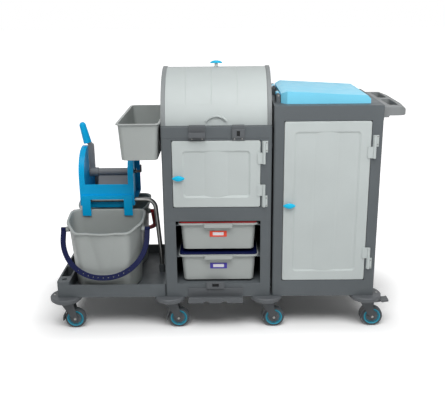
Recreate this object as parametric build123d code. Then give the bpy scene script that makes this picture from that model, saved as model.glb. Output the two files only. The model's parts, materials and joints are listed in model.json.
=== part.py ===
from build123d import *
import os
from math import asin, cos, degrees, radians, sin

# Overall layout in millimetres: floor at z = 0, +X towards the push handle, +Y to the back
depth = 540.0
chassis_height = 170.0
tray_length = 516.0
mid_width = 496.0
right_width = 483.0
tray_gap = 2.0
cabinet_gap = 8.0
bumper_reach = 42.0
handle_reach = 112.0

# Walls and clearances shared by the mouldings
wall = 4.0
tub_wall = 3.0
corner_radius = 10.0
rib = 3.0
run_gap = 0.5
seat_gap = 0.3
bore_gap = 0.05

# Heights of the stacked modules
tray_height = 63.0
tray_floor_rise = 16.0
mid_base_height = 68.0
deck_height = 52.0
right_base_height = 80.0
right_deck_height = 66.0

# End beam of the tray and its pockets
beam_width = 60.0
beam_height = 80.0
beam_block = 70.0
beam_pocket_count = 3
beam_pocket_depth = 50.0
beam_pocket_rib = 12.0
pole_socket_radius = 12.5
pole_socket_depth = 50.0

# Casters
wheel_radius = 50.0
wheel_width = 30.0
tyre_thickness = 9.0
tyre_crown = 4.0
hub_dish = 5.0
hub_radius = 13.0
axle_radius = 4.0
caster_trail = 38.0
fork_wall = 5.0
fork_side_gap = 2.5
fork_plate_radius = 32.0
fork_plate_thickness = 8.0
fork_hood_gap = 3.5
fork_hood_start = 112.0
fork_hood_sweep = 76.0
fork_boss_radius = 13.0
fork_swivel_gap = 1.0
stem_radius = 7.0
stem_socket = 10.0
bumper_radius = 75.0
bumper_thickness = 26.0
bumper_bevel = 9.0
bumper_edge_radius = 4.0
mid_caster_inset = 18.0
boss_radius = 16.0
base_rib_count = 4
tray_rib_count = 5

# Brake pedals on the casters of the handle end
pedal_pivot_x = 26.0
pedal_pivot_drop = 19.0
pedal_pin_radius = 4.0
pedal_reach = 112.0
pedal_thickness = 8.0
pedal_width = 30.0
pedal_tread_length = 34.0
pedal_tread_width = 50.0
pedal_slope = 8.0
pedal_travel = 8.0
brake_shoe_length = 18.0
brake_shoe_gap = 0.6

# Front openings, doors and their knobs
door_thickness = 16.0
door_proud = 2.0
door_gap = 2.0
frame_return = 12.0
door_border = 54.0
door_recess = 5.0
door_slope = 9.0
door_edge = 3.5
door_strip_width = 104.0
door_strip_rise = 4.0
door_corner = 9.0
door_rib_count = 2
mid_door_left = 47.5
mid_door_right = 51.5
mid_door_rise = 67.0
mid_door_height = 309.0
mid_door_head = 10.0
right_door_left = 46.0
right_door_right = 51.0
right_door_rise = 2.0
right_door_height = 757.0
right_door_head = 3.0

hinge_offset = 16.0
hinge_stand = 8.0
hinge_radius = 6.5
hinge_pin_radius = 3.0
hinge_length = 104.0
hinge_tab_thickness = 5.0
hinge_tab_lap = 14.0
mid_hinge_margin = 2.0
right_hinge_low = 58.0
right_hinge_top = 63.0

knob_length = 58.0
knob_width = 26.0
knob_height = 20.0
knob_taper = 4.0
knob_collar_radius = 12.0
knob_collar_height = 7.0
knob_shaft_radius = 6.0
knob_edge = 27.0
knob_boss_radius = 13.0
tongue_length = 38.0
tongue_width = 16.0
tongue_thickness = 4.0
mid_knob_share = 0.45
right_knob_share = 0.49

# Drawers on moulded runners
drawer_opening_left = 55.0
drawer_opening_right = 49.0
drawer_side_gap = 9.0
drawer_depth = 470.0
drawer_height = 132.0
drawer_rim = 12.0
drawer_rim_height = 8.0
drawer_taper = 9.0
drawer_corner = 22.0
drawer_lift = 11.0
drawer_head = 6.0
drawer_lid_thickness = 7.0
drawer_lid_margin = 5.0
drawer_setback = 3.0
drawer_grip_width = 132.0
drawer_grip_reach = 12.0
drawer_grip_drop = 18.0
runner_lap = 8.0
runner_thickness = 4.0
runner_web = 14.0
shelf_thickness = 6.0
shelf_drop = 5.0
shelf_ledge = 10.0

# Roll-top hood over the middle deck
hood_radius = 240.0
hood_cheek = 22.0
hood_shoulder = 9.0
hood_groove_depth = 6.0
hood_skin = 5.0
hood_lid_inset = 4.0
hood_lid_thickness = 4.0
hood_rear_gap = 10.0
hood_lid_sweep = 104.0
hood_rear_start = 96.0
hood_seam_width = 3.0
hood_seam_depth = 1.2
hood_seam_low = 22.0
hood_seam_pitch = 116.0
hood_seam_shift = -22.0
hood_grip_radius = 62.0
hood_grip_width = 6.0
hood_grip_reach = 9.0
hood_grip_half_angle = 52.0
hood_grip_rise = 16.0
hood_knob_angle = 93.0
hood_knob_play = 0.7
hood_knob_neck = 8.0
deck_rim = 26.0
deck_front_rim = 36.0

# Bin hung on the left flank of the middle cabinet
bin_width = 200.0
bin_depth = 550.0
bin_height = 168.0
bin_wringer_gap = 10.0
bin_rim = 8.0
bin_rim_thickness = 5.0
bin_taper = 10.0
bin_corner = 24.0
bin_lip_drop = 10.0
bin_lip_thickness = 2.5
hanger_length = 460.0
hanger_height = 58.0
hanger_plate = 2.0
hanger_gap = 4.0
hanger_upstand = 2.5
hanger_upstand_height = 14.0

# Buckets, bails and the wringer hoop
bucket_width = 376.0
bucket_gap = 28.0
bucket_beam_gap = 5.5
bucket_front_height = 301.0
bucket_back_height = 347.0
bucket_nose_width = 266.0
bucket_nose_depth = 110.0
bucket_back_chamfer = 22.0
bucket_corner = 18.0
bucket_taper = 22.0
bucket_rim = 8.0
bucket_rim_thickness = 7.0
bucket_margin = 8.0
spout_half_width = 75.0
spout_half_depth = 34.0
spout_tip_half_width = 12.0
spout_tip_half_depth = 5.0
spout_reach = 12.0
spout_height = 235.0
bail_drop = 40.0
bail_pin_radius = 5.0
bail_pin_length = 18.0
bail_side_gap = 2.0
bail_width = 24.0
bail_thickness = 10.0
bail_eye_radius = 10.0
bail_hole_radius = 3.0
bail_hole_count = 11
bail_hole_pitch = 24.0
bail_front_tilt = 34.0
bail_front_clear = 10.2063
bail_front_corner = 196.0
bail_rear_tilt = 41.0
bail_rear_clear = -7.2215
bail_rear_corner = 56.0
bail_boss_radius = 13.0
hoop_tube_radius = 11.0
hoop_tube_wall = 2.0
hoop_rise = 342.0
hoop_left = 72.0
hoop_width = 404.0
hoop_top_width = 356.0
hoop_bend = 46.0

# Wringer that hangs on the hoop over the rear bucket
wringer_left = 86.0
wringer_width = 268.0
cheek_width = 28.0
cheek_skin = 4.0
cheek_round = 136.0
cheek_drop = 23.0
wringer_pivot_y = 112.0
wringer_pivot_rise = 138.0
cross_plate_height = 58.0
cross_plate_rise = 108.0
hook_width = 42.0
hook_thickness = 8.0
hook_drop = 72.0
hook_inset = 10.0
hook_clear = 3.0
skirt_drop = 44.0
skirt_thickness = 5.0
hopper_floor = 5.0
drain_slot = 8.0
drain_slot_count = 6
grid_thickness = 6.0
grid_lean = 18.0
grid_height = 96.0
grid_hole_radius = 5.0
grid_rows = 3
grid_columns = 7
grid_pitch = 26.0
shaft_radius = 8.0
sleeve_radius = 19.0
paddle_length = 96.0
paddle_thickness = 5.0
paddle_tilt = 28.0
paddle_rib = 4.0
paddle_rib_count = 7
lever_hub_width = 44.0
lever_hub_radius = 23.0
lever_width = 28.0
lever_thickness = 18.0
lever_side_gap = 2.5
lever_knee = 142.0
lever_crank = 22.0
lever_reach = 252.0
lever_lean = 38.0
lever_tang_radius = 6.0
grip_radius = 15.0
grip_tip_radius = 12.0
grip_socket = 30.0
clip_reach = 34.0
clip_height = 36.0
clip_wall = 7.0
clip_length = 22.0
clip_rise = 154.0
clip_y = 30.0

# Bag cover on the right cabinet, hinged along its left side
cover_left = 34.5
cover_width = 398.0
cover_depth = 430.0
cover_tall = 57.0
cover_low = 34.0
cover_bevel = 14.0
cover_hinge_bevel = 26.0
cover_corner = 26.0
cover_end_bevel = 11.0
cover_wall = 4.0
cover_pivot_out = 11.0
cover_pivot_rise = 34.0
cover_knuckle_radius = 9.0
cover_knuckle_length = 60.0
cover_lug_length = 26.0
cover_pin_radius = 4.0
cover_knuckle_y = 130.0
bag_mouth_margin = 34.0
bag_collar_height = 10.0
bag_mouth_corner = 4.0

# Push handle with two hand holes
handle_thickness = 42.0
handle_root = 50.0
handle_drop = 10.0
handle_span = 470.0
handle_corner = 46.0
handle_bar = 34.0
handle_web = 44.0
handle_hole_corner = 18.0
handle_edge = 6.0

# Holders on the front of the middle cabinet
band_hook_x = 162.0
band_hook_width = 74.0
band_clip_x = 345.0
band_clip_width = 56.0
holder_plate = 6.0
holder_height = 58.0
holder_lap = 22.0
holder_reach = 30.0
holder_slot_width = 14.0
ledge_x = 236.0
ledge_width = 258.0
ledge_height = 46.0
ledge_reach = 38.0
ledge_shelf = 8.0
ledge_lip = 18.0
ledge_lip_drop = 10.0
ledge_notch = 21.0
ledge_notch_height = 8.0
ledge_tooth_count = 3
ledge_clip_width = 86.0
ledge_clip_gap = 1.0
ledge_clip_depth = 14.0
ledge_clip_hole_width = 30.0
ledge_clip_hole_height = 18.0

# Link lugs between the module bases
link_length = 70.0
link_height = 34.0
link_y = 150.0
link_margin = 40.0

# Places worked out from the sizes above
overall_length = (bumper_reach + tray_length + tray_gap + mid_width + cabinet_gap
                  + right_width + handle_reach)
front = -depth / 2
back = depth / 2
tray_left = bumper_reach - overall_length / 2
tray_right = tray_left + tray_length
mid_left = tray_right + tray_gap
mid_right = mid_left + mid_width
right_left = mid_right + cabinet_gap
right_right = right_left + right_width

tray_floor = chassis_height + tray_floor_rise
tray_top = chassis_height + tray_height
mid_base_top = chassis_height + mid_base_height
bay_height = drawer_lift + drawer_height + drawer_lid_thickness + drawer_head
drawer_top = mid_base_top + 2 * bay_height
door_top = drawer_top + mid_door_rise + mid_door_height + mid_door_head
deck_top = door_top + deck_height
right_base_top = chassis_height + right_base_height
right_deck_bottom = right_base_top + right_door_rise + right_door_height + right_door_head
right_deck_top = right_deck_bottom + right_deck_height

hoop_height = tray_top + hoop_rise
cheek_bottom = hoop_height - cheek_drop
wringer_pivot_z = cheek_bottom + wringer_pivot_rise
cross_plate_top = cheek_bottom + cross_plate_rise

beam_top = chassis_height + beam_height
pole_sockets = [(tray_left + beam_width / 2, side * (depth - beam_block) / 2) for side in (-1, 1)]

bumper_inset = bumper_radius - bumper_reach
bumper_bottom = chassis_height - bumper_thickness
fork_top = bumper_bottom - fork_swivel_gap
pedal_z = fork_top - pedal_pivot_drop
caster_columns = {
    "tray": tray_left + bumper_inset,
    "mid_left": mid_left + mid_caster_inset,
    "mid_right": mid_right - mid_caster_inset,
    "handle": right_right - bumper_inset,
}
caster_rows = {"front": front + bumper_inset, "rear": back - bumper_inset}
casters = {
    f"{row}_{column}": (x, y)
    for column, x in caster_columns.items()
    for row, y in caster_rows.items()
}


# Small helpers for the shapes that repeat

def block(x0, x1, y0, y1, z0, z1):
    """A box between two corners."""
    return Pos((x0 + x1) / 2, (y0 + y1) / 2, (z0 + z1) / 2) * Box(x1 - x0, y1 - y0, z1 - z0)


def plan(x0, x1, y0, y1, z, radius):
    """A level rounded rectangle between two corners."""
    return Pos((x0 + x1) / 2, (y0 + y1) / 2, z) * RectangleRounded(x1 - x0, y1 - y0, radius)


def rounded_block(x0, x1, y0, y1, z0, z1, radius):
    """A box with its upright edges rounded."""
    return extrude(plan(x0, x1, y0, y1, z0, radius), z1 - z0)


def facing(x0, x1, z0, z1, y, radius):
    """An upright rounded rectangle that faces the front, at depth y."""
    plane = Plane(origin=((x0 + x1) / 2, y, (z0 + z1) / 2), x_dir=(1, 0, 0), z_dir=(0, 1, 0))
    return plane * RectangleRounded(x1 - x0, z1 - z0, radius)


def rod(start, direction, radius, length):
    """A round bar from a point along a direction."""
    return extrude(Plane(origin=start, z_dir=direction) * Circle(radius), length)


def ring_sector(inner, outer, start, sweep):
    """A flat piece of a ring between two angles."""
    outside = CenterArc((0, 0), outer, start, sweep)
    inside = CenterArc((0, 0), inner, start, sweep)
    return make_face([outside, Line(outside @ 1, inside @ 1), inside, Line(inside @ 0, outside @ 0)])


def along_x(sketch, x0, x1, y, z):
    """Extrude a sketch drawn in (y, z) along X, with its origin at the given y and z."""
    plane = Plane(origin=(x0, y, z), x_dir=(0, 1, 0), z_dir=(1, 0, 0))
    return extrude(plane * sketch, x1 - x0)


def along_y(sketch, y0, y1, x, z):
    """Extrude a sketch drawn in (x, z) along Y, with its origin at the given x and z."""
    plane = Plane(origin=(x, y1, z), x_dir=(1, 0, 0), z_dir=(0, -1, 0))
    return extrude(plane * sketch, y1 - y0)


def tub(lower, upper, thickness, floor):
    """An open tub between two level outlines given as (x0, x1, y0, y1, z, radius)."""
    def outline(size, inset, z):
        x0, x1, y0, y1, _, radius = size
        return plan(x0 + inset, x1 - inset, y0 + inset, y1 - inset, z, radius - inset)

    outside = loft([outline(lower, 0, lower[4]), outline(upper, 0, upper[4])])
    inside = loft([outline(lower, thickness, lower[4]), outline(upper, thickness, upper[4])])
    keep = block(lower[0] - depth, upper[1] + depth, lower[2] - depth, upper[3] + depth,
                 lower[4], lower[4] + floor)
    return outside - (inside - keep)


# Bases of the three modules

def base_bosses(columns, roof):
    """Sockets for the caster stems, from the underside up to the roof of a base."""
    bosses = []
    for x in columns:
        for y in caster_rows.values():
            bosses.append(rod((x, y, chassis_height), (0, 0, 1), boss_radius, roof - chassis_height))
    return bosses


def stem_bores(columns):
    """Holes for the caster stems."""
    bores = []
    for x in columns:
        for y in caster_rows.values():
            bores.append(rod((x, y, chassis_height), (0, 0, 1), stem_radius + bore_gap, stem_socket))
    return bores


def under_ribs(x0, x1, roof, count):
    """Stiffening ribs across the underside of a base."""
    step = (x1 - x0) / (count + 1)
    ribs = []
    for i in range(count):
        x = x0 + step * (i + 1)
        ribs.append(block(x - rib / 2, x + rib / 2, front + wall, back - wall,
                          chassis_height + wall, roof))
    return ribs


def link_lugs(x0, x1, low):
    """Pads that bridge the gap to the next module."""
    lugs = []
    for y in (-link_y, link_y):
        lugs.append(block(x0, x1, y - link_length / 2, y + link_length / 2, low, low + link_height))
    return lugs


def make_base_tray():
    body = rounded_block(tray_left, tray_right, front, back, chassis_height, tray_top, corner_radius)
    beam = rounded_block(tray_left, tray_left + beam_width, front, back,
                         chassis_height, chassis_height + beam_height, corner_radius)
    body = body + beam
    body -= rounded_block(tray_left + beam_width, tray_right - wall * 2, front + wall * 2,
                          back - wall * 2, tray_floor, tray_top, corner_radius)
    roof = tray_floor - wall
    body -= rounded_block(tray_left + wall, tray_right - wall, front + wall, back - wall,
                          chassis_height, roof, corner_radius)
    span = depth - 2 * beam_block
    pocket = (span - beam_pocket_rib * (beam_pocket_count - 1)) / beam_pocket_count
    for i in range(beam_pocket_count):
        y = front + beam_block + i * (pocket + beam_pocket_rib)
        body -= block(tray_left + wall * 2, tray_left + beam_width - wall * 2, y, y + pocket,
                      beam_top - beam_pocket_depth, beam_top)
    for x, y in pole_sockets:
        body -= rod((x, y, beam_top - pole_socket_depth), (0, 0, 1), pole_socket_radius, pole_socket_depth)
    columns = [caster_columns["tray"]]
    body += under_ribs(tray_left, tray_right, roof, tray_rib_count)
    body += base_bosses(columns, roof)
    body += link_lugs(tray_right, mid_left, tray_floor)
    body -= stem_bores(columns)
    for x in (hoop_x0, hoop_x1):
        socket = rod((x, 0, tray_floor - wall), (0, 0, 1), hoop_tube_radius + wall, tray_top - tray_floor)
        body += socket
        body -= rod((x, 0, tray_floor), (0, 0, 1), hoop_tube_radius, tray_height)
    return body


def make_cabinet_base(x0, x1, top, columns):
    body = rounded_block(x0, x1, front, back, chassis_height, top, corner_radius)
    roof = top - wall
    body -= rounded_block(x0 + wall, x1 - wall, front + wall, back - wall, chassis_height, roof,
                          corner_radius - wall)
    body += under_ribs(x0, x1, roof, base_rib_count)
    body += base_bosses(columns, roof)
    body -= stem_bores(columns)
    return body


# Cabinet shells: two flanks and a front frame in one moulding

def make_shell(x0, x1, z0, z1, openings):
    body = rounded_block(x0, x1, front, back, z0, z1, corner_radius)
    body -= block(x0 + wall, x1 - wall, front + wall, back, z0, z1)
    for left, right, low, high in openings:
        body += block(left - tub_wall, right + tub_wall, front, front + frame_return,
                      max(low - tub_wall, z0), min(high + tub_wall, z1))
    for left, right, low, high in openings:
        body -= block(left, right, front, front + frame_return, low, high)
    return body


def make_back_panel(x0, x1, z0, z1):
    """A pressed panel between the flanks, with two shallow fields."""
    body = block(x0 + wall, x1 - wall, back - wall, back, z0, z1)
    middle = (z0 + z1) / 2
    for low, high in ((z0, middle), (middle, z1)):
        field = facing(x0 + door_border, x1 - door_border, low + door_border / 2,
                       high - door_border / 2, back - wall / 2, door_corner)
        body -= extrude(field, wall / 2)
    return body


# Drawer bays in the middle cabinet
opening_left = mid_left + drawer_opening_left
opening_right = mid_right - drawer_opening_right
opening_middle = (opening_left + opening_right) / 2
drawer_left = opening_left + drawer_side_gap
drawer_right = opening_right - drawer_side_gap
drawer_front = front + drawer_setback
drawer_floors = {
    "lower": mid_base_top + drawer_lift,
    "upper": mid_base_top + bay_height + drawer_lift,
}


def make_drawer_shell():
    body = make_shell(mid_left, mid_right, mid_base_top, drawer_top,
                      [(opening_left, opening_right, mid_base_top, drawer_top)])
    body += block(mid_left + wall, mid_right - wall, front + wall, back - wall,
                  drawer_top - tub_wall, drawer_top)
    for floor in drawer_floors.values():
        top = floor + drawer_height - drawer_rim_height - seat_gap
        y0 = front + frame_return
        y1 = drawer_front + drawer_depth
        edge = drawer_left + runner_lap
        body += block(mid_left + wall, edge, y0, y1, top - runner_thickness, top)
        body += block(opening_left - tub_wall, opening_left, y0, y1, top - runner_web, top)
        edge = drawer_right - runner_lap
        body += block(edge, mid_right - wall, y0, y1, top - runner_thickness, top)
        body += block(opening_right, opening_right + tub_wall, y0, y1, top - runner_web, top)
    return body


def make_drawer(floor):
    top = floor + drawer_height
    x0 = drawer_left + drawer_rim
    x1 = drawer_right - drawer_rim
    y0 = drawer_front + drawer_rim
    y1 = drawer_front + drawer_depth - drawer_rim
    lower = (x0 + drawer_taper, x1 - drawer_taper, y0 + drawer_taper, y1 - drawer_taper,
             floor, drawer_corner)
    upper = (x0, x1, y0, y1, top, drawer_corner)
    body = tub(lower, upper, tub_wall, tub_wall)
    rim = rounded_block(drawer_left, drawer_right, drawer_front, drawer_front + drawer_depth,
                        top - drawer_rim_height, top, drawer_corner)
    grip = rounded_block(opening_middle - drawer_grip_width / 2, opening_middle + drawer_grip_width / 2,
                         drawer_front - drawer_grip_reach, y0, top - drawer_grip_drop, top,
                         drawer_grip_reach / 2)
    grip -= block(opening_middle - drawer_grip_width / 2 + tub_wall,
                  opening_middle + drawer_grip_width / 2 - tub_wall,
                  drawer_front - drawer_grip_reach + tub_wall, y0,
                  top - drawer_grip_drop, top - tub_wall)
    mouth = plan(x0 + tub_wall, x1 - tub_wall, y0 + tub_wall, y1 - tub_wall,
                 top - drawer_grip_drop, drawer_corner - tub_wall)
    rim = rim + grip - extrude(mouth, drawer_grip_drop)
    return body + rim


def make_drawer_lid(floor):
    low = floor + drawer_height
    high = low + drawer_lid_thickness
    m = drawer_lid_margin
    body = rounded_block(drawer_left + m, drawer_right - m, drawer_front + m,
                         drawer_front + drawer_depth - m, low, high, drawer_corner - m)
    inner = drawer_rim + tub_wall + m
    body -= rounded_block(drawer_left + inner, drawer_right - inner, drawer_front + inner,
                          drawer_front + drawer_depth - inner, high - tub_wall, high, drawer_corner / 2)
    return body


# Doors, hinges and knobs

class DoorPlace:
    """Where a door leaf sits: its edges, its hinge axis and its knob."""

    def __init__(self, left, right, low, height, hinge_starts, knob_share):
        self.left = left
        self.right = right
        self.low = low
        self.high = low + height
        self.face = front - door_proud
        self.axis_x = self.right + hinge_offset
        self.axis_y = front - hinge_stand
        self.hinge_starts = hinge_starts
        self.knob_x = left + knob_edge
        self.knob_z = low + height * knob_share

    def opening(self):
        return (self.left - door_gap, self.right + door_gap, self.low - door_gap, self.high + door_gap)

    def halves(self, index):
        """The door's half and the fixed half of a hinge, as (low, high) heights."""
        start = self.hinge_starts[index]
        middle = start + hinge_length / 2
        lower = (start, middle - run_gap / 2)
        upper = (middle + run_gap / 2, start + hinge_length)
        return (upper, lower) if index == 0 else (lower, upper)


mid_door_low = drawer_top + mid_door_rise
mid_place = DoorPlace(
    mid_left + mid_door_left, mid_right - mid_door_right, mid_door_low, mid_door_height,
    (mid_door_low + mid_hinge_margin,
     mid_door_low + mid_door_height - hinge_length - mid_hinge_margin),
    mid_knob_share)
right_door_low = right_base_top + right_door_rise
right_place = DoorPlace(
    right_left + right_door_left, right_right - right_door_right, right_door_low, right_door_height,
    (right_door_low + right_hinge_low,
     right_door_low + right_door_height - hinge_length - right_hinge_top),
    right_knob_share)


def make_door_shell():
    body = make_shell(mid_left, mid_right, drawer_top, door_top, [mid_place.opening()])
    shelf_low = mid_place.low - shelf_drop - shelf_thickness
    for x in (mid_left + wall, mid_right - wall - shelf_ledge):
        body += block(x, x + shelf_ledge, front + wall, back - wall, shelf_low - shelf_ledge, shelf_low)
    return body


def make_shelf():
    low = mid_place.low - shelf_drop - shelf_thickness
    return block(mid_left + wall, mid_right - wall, front + frame_return, back - wall,
                 low, low + shelf_thickness)


def make_door(place):
    leaf = extrude(facing(place.left, place.right, place.low, place.high, place.face, door_corner),
                   door_thickness)
    leaf = fillet(leaf.faces().sort_by(Axis.Y)[0].edges(), door_edge)
    b = door_border
    field = facing(place.left + b, place.right - b, place.low + b, place.high - b,
                   place.face + door_recess, door_corner)
    b -= door_slope
    brink = facing(place.left + b, place.right - b, place.low + b, place.high - b,
                   place.face, door_corner + door_slope)
    leaf -= loft([brink, field])
    sag = door_strip_rise
    half = door_strip_width / 2
    radius = (half * half + sag * sag) / (2 * sag)
    middle = (place.left + place.right) / 2
    strip = Pos(middle, place.face + door_recess - sag + radius, place.low + b) * Cylinder(
        radius, place.high - place.low - 2 * b, align=(Align.CENTER, Align.CENTER, Align.MIN))
    strip &= block(middle - half, middle + half, place.face, place.face + door_recess + tub_wall,
                   place.low + b, place.high - b)
    leaf += strip
    skin = place.face + door_recess + wall
    rear = place.face + door_thickness
    leaf -= block(place.left + wall, place.right - wall, skin, rear, place.low + wall, place.high - wall)
    step = (place.high - place.low) / (door_rib_count + 1)
    for i in range(door_rib_count):
        z = place.low + step * (i + 1)
        leaf += block(place.left + wall, place.right - wall, skin, rear, z - rib / 2, z + rib / 2)
    leaf += rod((place.knob_x, skin, place.knob_z), (0, 1, 0), knob_boss_radius, rear - skin)
    leaf -= rod((place.knob_x, place.face, place.knob_z), (0, 1, 0), knob_shaft_radius + bore_gap,
                door_thickness)
    for index in range(2):
        low, high = place.halves(index)[0]
        tab = block(place.right - hinge_tab_lap, place.axis_x, place.face - hinge_tab_thickness,
                    place.face, low, high)
        knuckle = rod((place.axis_x, place.axis_y, low), (0, 0, 1), hinge_radius, high - low)
        leaf += tab + knuckle
        leaf -= rod((place.axis_x, place.axis_y, low), (0, 0, 1), hinge_pin_radius + bore_gap, high - low)
    return leaf


def make_hinge_bracket(place, index):
    """The fixed half of a hinge: a plate on the frame, its knuckle and its moulded pin."""
    moving, fixed = place.halves(index)
    low, high = fixed
    x0 = place.right + door_gap + run_gap
    plate = block(x0, place.axis_x + hinge_radius, front - hinge_tab_thickness, front, low, high)
    knuckle = rod((place.axis_x, place.axis_y, low), (0, 0, 1), hinge_radius, high - low)
    pin_low = min(low, moving[0])
    pin = rod((place.axis_x, place.axis_y, pin_low), (0, 0, 1), hinge_pin_radius, hinge_length)
    return plate + knuckle + pin


def make_wing_knob(plane, grip_depth):
    """A wing knob on a plane: collar, tapered wing and a shaft that goes in by grip_depth."""
    collar = extrude(plane * Circle(knob_collar_radius), knob_collar_height)
    foot = plane.offset(knob_collar_height / 2) * Ellipse(knob_length / 2, knob_width / 2)
    crown = plane.offset(knob_height) * Ellipse(knob_length / 2 - knob_taper, knob_width / 2 - knob_taper)
    wing = loft([foot, crown])
    shaft = extrude(plane * Circle(knob_shaft_radius), -grip_depth)
    return collar + wing + shaft


def make_door_knob(place):
    plane = Plane(origin=(place.knob_x, place.face - seat_gap, place.knob_z),
                  x_dir=(1, 0, 0), z_dir=(0, -1, 0))
    inside = door_thickness + 2 * seat_gap
    knob = make_wing_knob(plane, inside + tongue_thickness / 2)
    y = place.face - seat_gap + inside
    half = tongue_width / 2
    tongue = block(place.knob_x - half, place.knob_x + half, y, y + tongue_thickness,
                   place.knob_z - half, place.knob_z + tongue_length)
    return knob + tongue


# Roll-top hood

hood_y = 0.0
hood_z = deck_top
lid_outer = hood_radius - hood_lid_inset
lid_inner = lid_outer - hood_lid_thickness
rear_outer = lid_inner - hood_rear_gap
lid_rest = degrees(asin(seat_gap / lid_inner))


def make_mid_deck():
    body = rounded_block(mid_left, mid_right, front, back, door_top, deck_top, corner_radius)
    body -= rounded_block(mid_left + deck_rim, mid_right - deck_rim, front + deck_front_rim,
                          back - deck_front_rim, door_top + wall, deck_top, corner_radius)
    return body


def make_hood_housing():
    half_disc = ring_sector(seat_gap, hood_radius, 0, 180)
    groove = ring_sector(lid_inner - run_gap, lid_outer + run_gap, 0, 180)
    pocket = ring_sector(hood_skin, rear_outer - hood_skin, 0, 180)
    cheeks = []
    for outer, inner in ((mid_left, mid_left + hood_cheek), (mid_right, mid_right - hood_cheek)):
        low, high = min(outer, inner), max(outer, inner)
        cheek = along_x(half_disc, low, high, hood_y, hood_z)
        side = 1 if inner > outer else -1
        rims = cheek.edges().filter_by(GeomType.CIRCLE).group_by(SortBy.RADIUS)[-1]
        cheek = fillet(rims.sort_by(Axis.X)[-(side + 1) // 2], hood_shoulder)
        g0, g1 = sorted((inner - side * hood_groove_depth, inner))
        p0, p1 = sorted((outer + side * hood_skin, inner))
        cheek -= along_x(groove, g0, g1, hood_y, hood_z)
        cheek -= along_x(pocket, p0, p1, hood_y, hood_z)
        cheeks.append(cheek)
    rear = ring_sector(rear_outer - hood_lid_thickness, rear_outer, 0, 180 - hood_rear_start)
    shell = along_x(rear, mid_left + hood_cheek, mid_right - hood_cheek, hood_y, hood_z)
    return cheeks[0] + shell + cheeks[1]


def make_hood_lid():
    play = hood_groove_depth - run_gap
    x0 = mid_left + hood_cheek - play
    x1 = mid_right - hood_cheek + play
    start = 180 - hood_lid_sweep
    lid = along_x(ring_sector(lid_inner, lid_outer, start, hood_lid_sweep - lid_rest), x0, x1,
                  hood_y, hood_z)
    middle = (mid_left + mid_right) / 2
    seam = ring_sector(lid_outer - hood_seam_depth, lid_outer + hood_seam_depth,
                       start, hood_lid_sweep - hood_seam_low)
    for i in (-1, 0, 1):
        x = middle + hood_seam_shift + i * hood_seam_pitch
        lid -= along_x(seam, x - hood_seam_width / 2, x + hood_seam_width / 2, hood_y, hood_z)
    brow = ring_sector(hood_grip_radius - hood_grip_width, hood_grip_radius,
                       90 - hood_grip_half_angle, 2 * hood_grip_half_angle)
    chord = hood_grip_radius * cos(radians(hood_grip_half_angle)) - hood_grip_width
    brow_z = hood_z + hood_grip_rise - chord
    brow = along_y(brow, -lid_outer - hood_grip_reach, -lid_inner / 2, middle, brow_z)
    brow -= rod((x0, hood_y, hood_z), (1, 0, 0), lid_inner + hood_lid_thickness / 2, x1 - x0)
    lid += brow
    lid -= rod(hood_knob_point(lid_inner - wall), hood_knob_axis, knob_shaft_radius + bore_gap,
               hood_lid_thickness + 2 * wall)
    return lid


hood_knob_axis = (0, -cos(radians(hood_knob_angle)), sin(radians(hood_knob_angle)))


def hood_knob_point(radius):
    """A point on the hood knob's axis at a distance from the hood's centre line."""
    _, along_depth, along_height = hood_knob_axis
    return ((mid_left + mid_right) / 2, hood_y + radius * along_depth, hood_z + radius * along_height)


def make_hood_knob():
    foot = lid_outer + seat_gap
    plane = Plane(origin=hood_knob_point(foot + hood_knob_neck), x_dir=(1, 0, 0), z_dir=hood_knob_axis)
    shaft = hood_knob_neck + seat_gap + hood_lid_thickness + hood_knob_play + wall / 2
    knob = make_wing_knob(plane, shaft)
    knob += rod(hood_knob_point(foot), hood_knob_axis, knob_collar_radius - tub_wall, hood_knob_neck)
    under = hood_knob_point(lid_inner - hood_knob_play - wall)
    return knob + rod(under, hood_knob_axis, knob_boss_radius, wall)


# Bin and its hanger

bin_right = mid_left - seat_gap
bin_left = bin_right - bin_width
bin_top = wringer_pivot_z + cheek_round + bin_wringer_gap + bin_height
hanger_outer = mid_left - hanger_plate - hanger_gap - hanger_upstand
bin_wall_right = hanger_outer - run_gap


def make_tray_bin():
    half = bin_depth / 2
    x0 = bin_left + bin_rim
    y0 = -half + bin_rim
    t = bin_taper
    lower = (x0 + t, bin_wall_right - t, y0 + t, -y0 - t, bin_top - bin_height, bin_corner)
    upper = (x0, bin_wall_right, y0, -y0, bin_top, bin_corner)
    body = tub(lower, upper, tub_wall, tub_wall)
    lip_outer = mid_left - hanger_plate - (hanger_gap - bin_lip_thickness) / 2
    rim = rounded_block(bin_left, lip_outer, -half, half, bin_top - bin_rim_thickness, bin_top, bin_corner)
    rim -= rounded_block(x0 + tub_wall, bin_wall_right - tub_wall, y0 + tub_wall, -y0 - tub_wall,
                         bin_top - bin_rim_thickness, bin_top, bin_corner - tub_wall)
    lip = block(lip_outer - bin_lip_thickness, lip_outer, -hanger_length / 2, hanger_length / 2,
                bin_top - bin_lip_drop - bin_rim_thickness, bin_top)
    return body + rim + lip


def make_bin_hanger():
    top = bin_top - bin_rim_thickness - seat_gap
    y0, y1 = -hanger_length / 2, hanger_length / 2
    low = top - hanger_upstand_height
    plate = block(mid_left - hanger_plate, mid_left, y0, y1, top - hanger_height, top)
    upstand = block(hanger_outer, hanger_outer + hanger_upstand, y0, y1, low - hanger_plate, top)
    foot = block(hanger_outer, mid_left, y0, y1, low - hanger_plate, low)
    return plate + foot + upstand


# Buckets and bails

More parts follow.
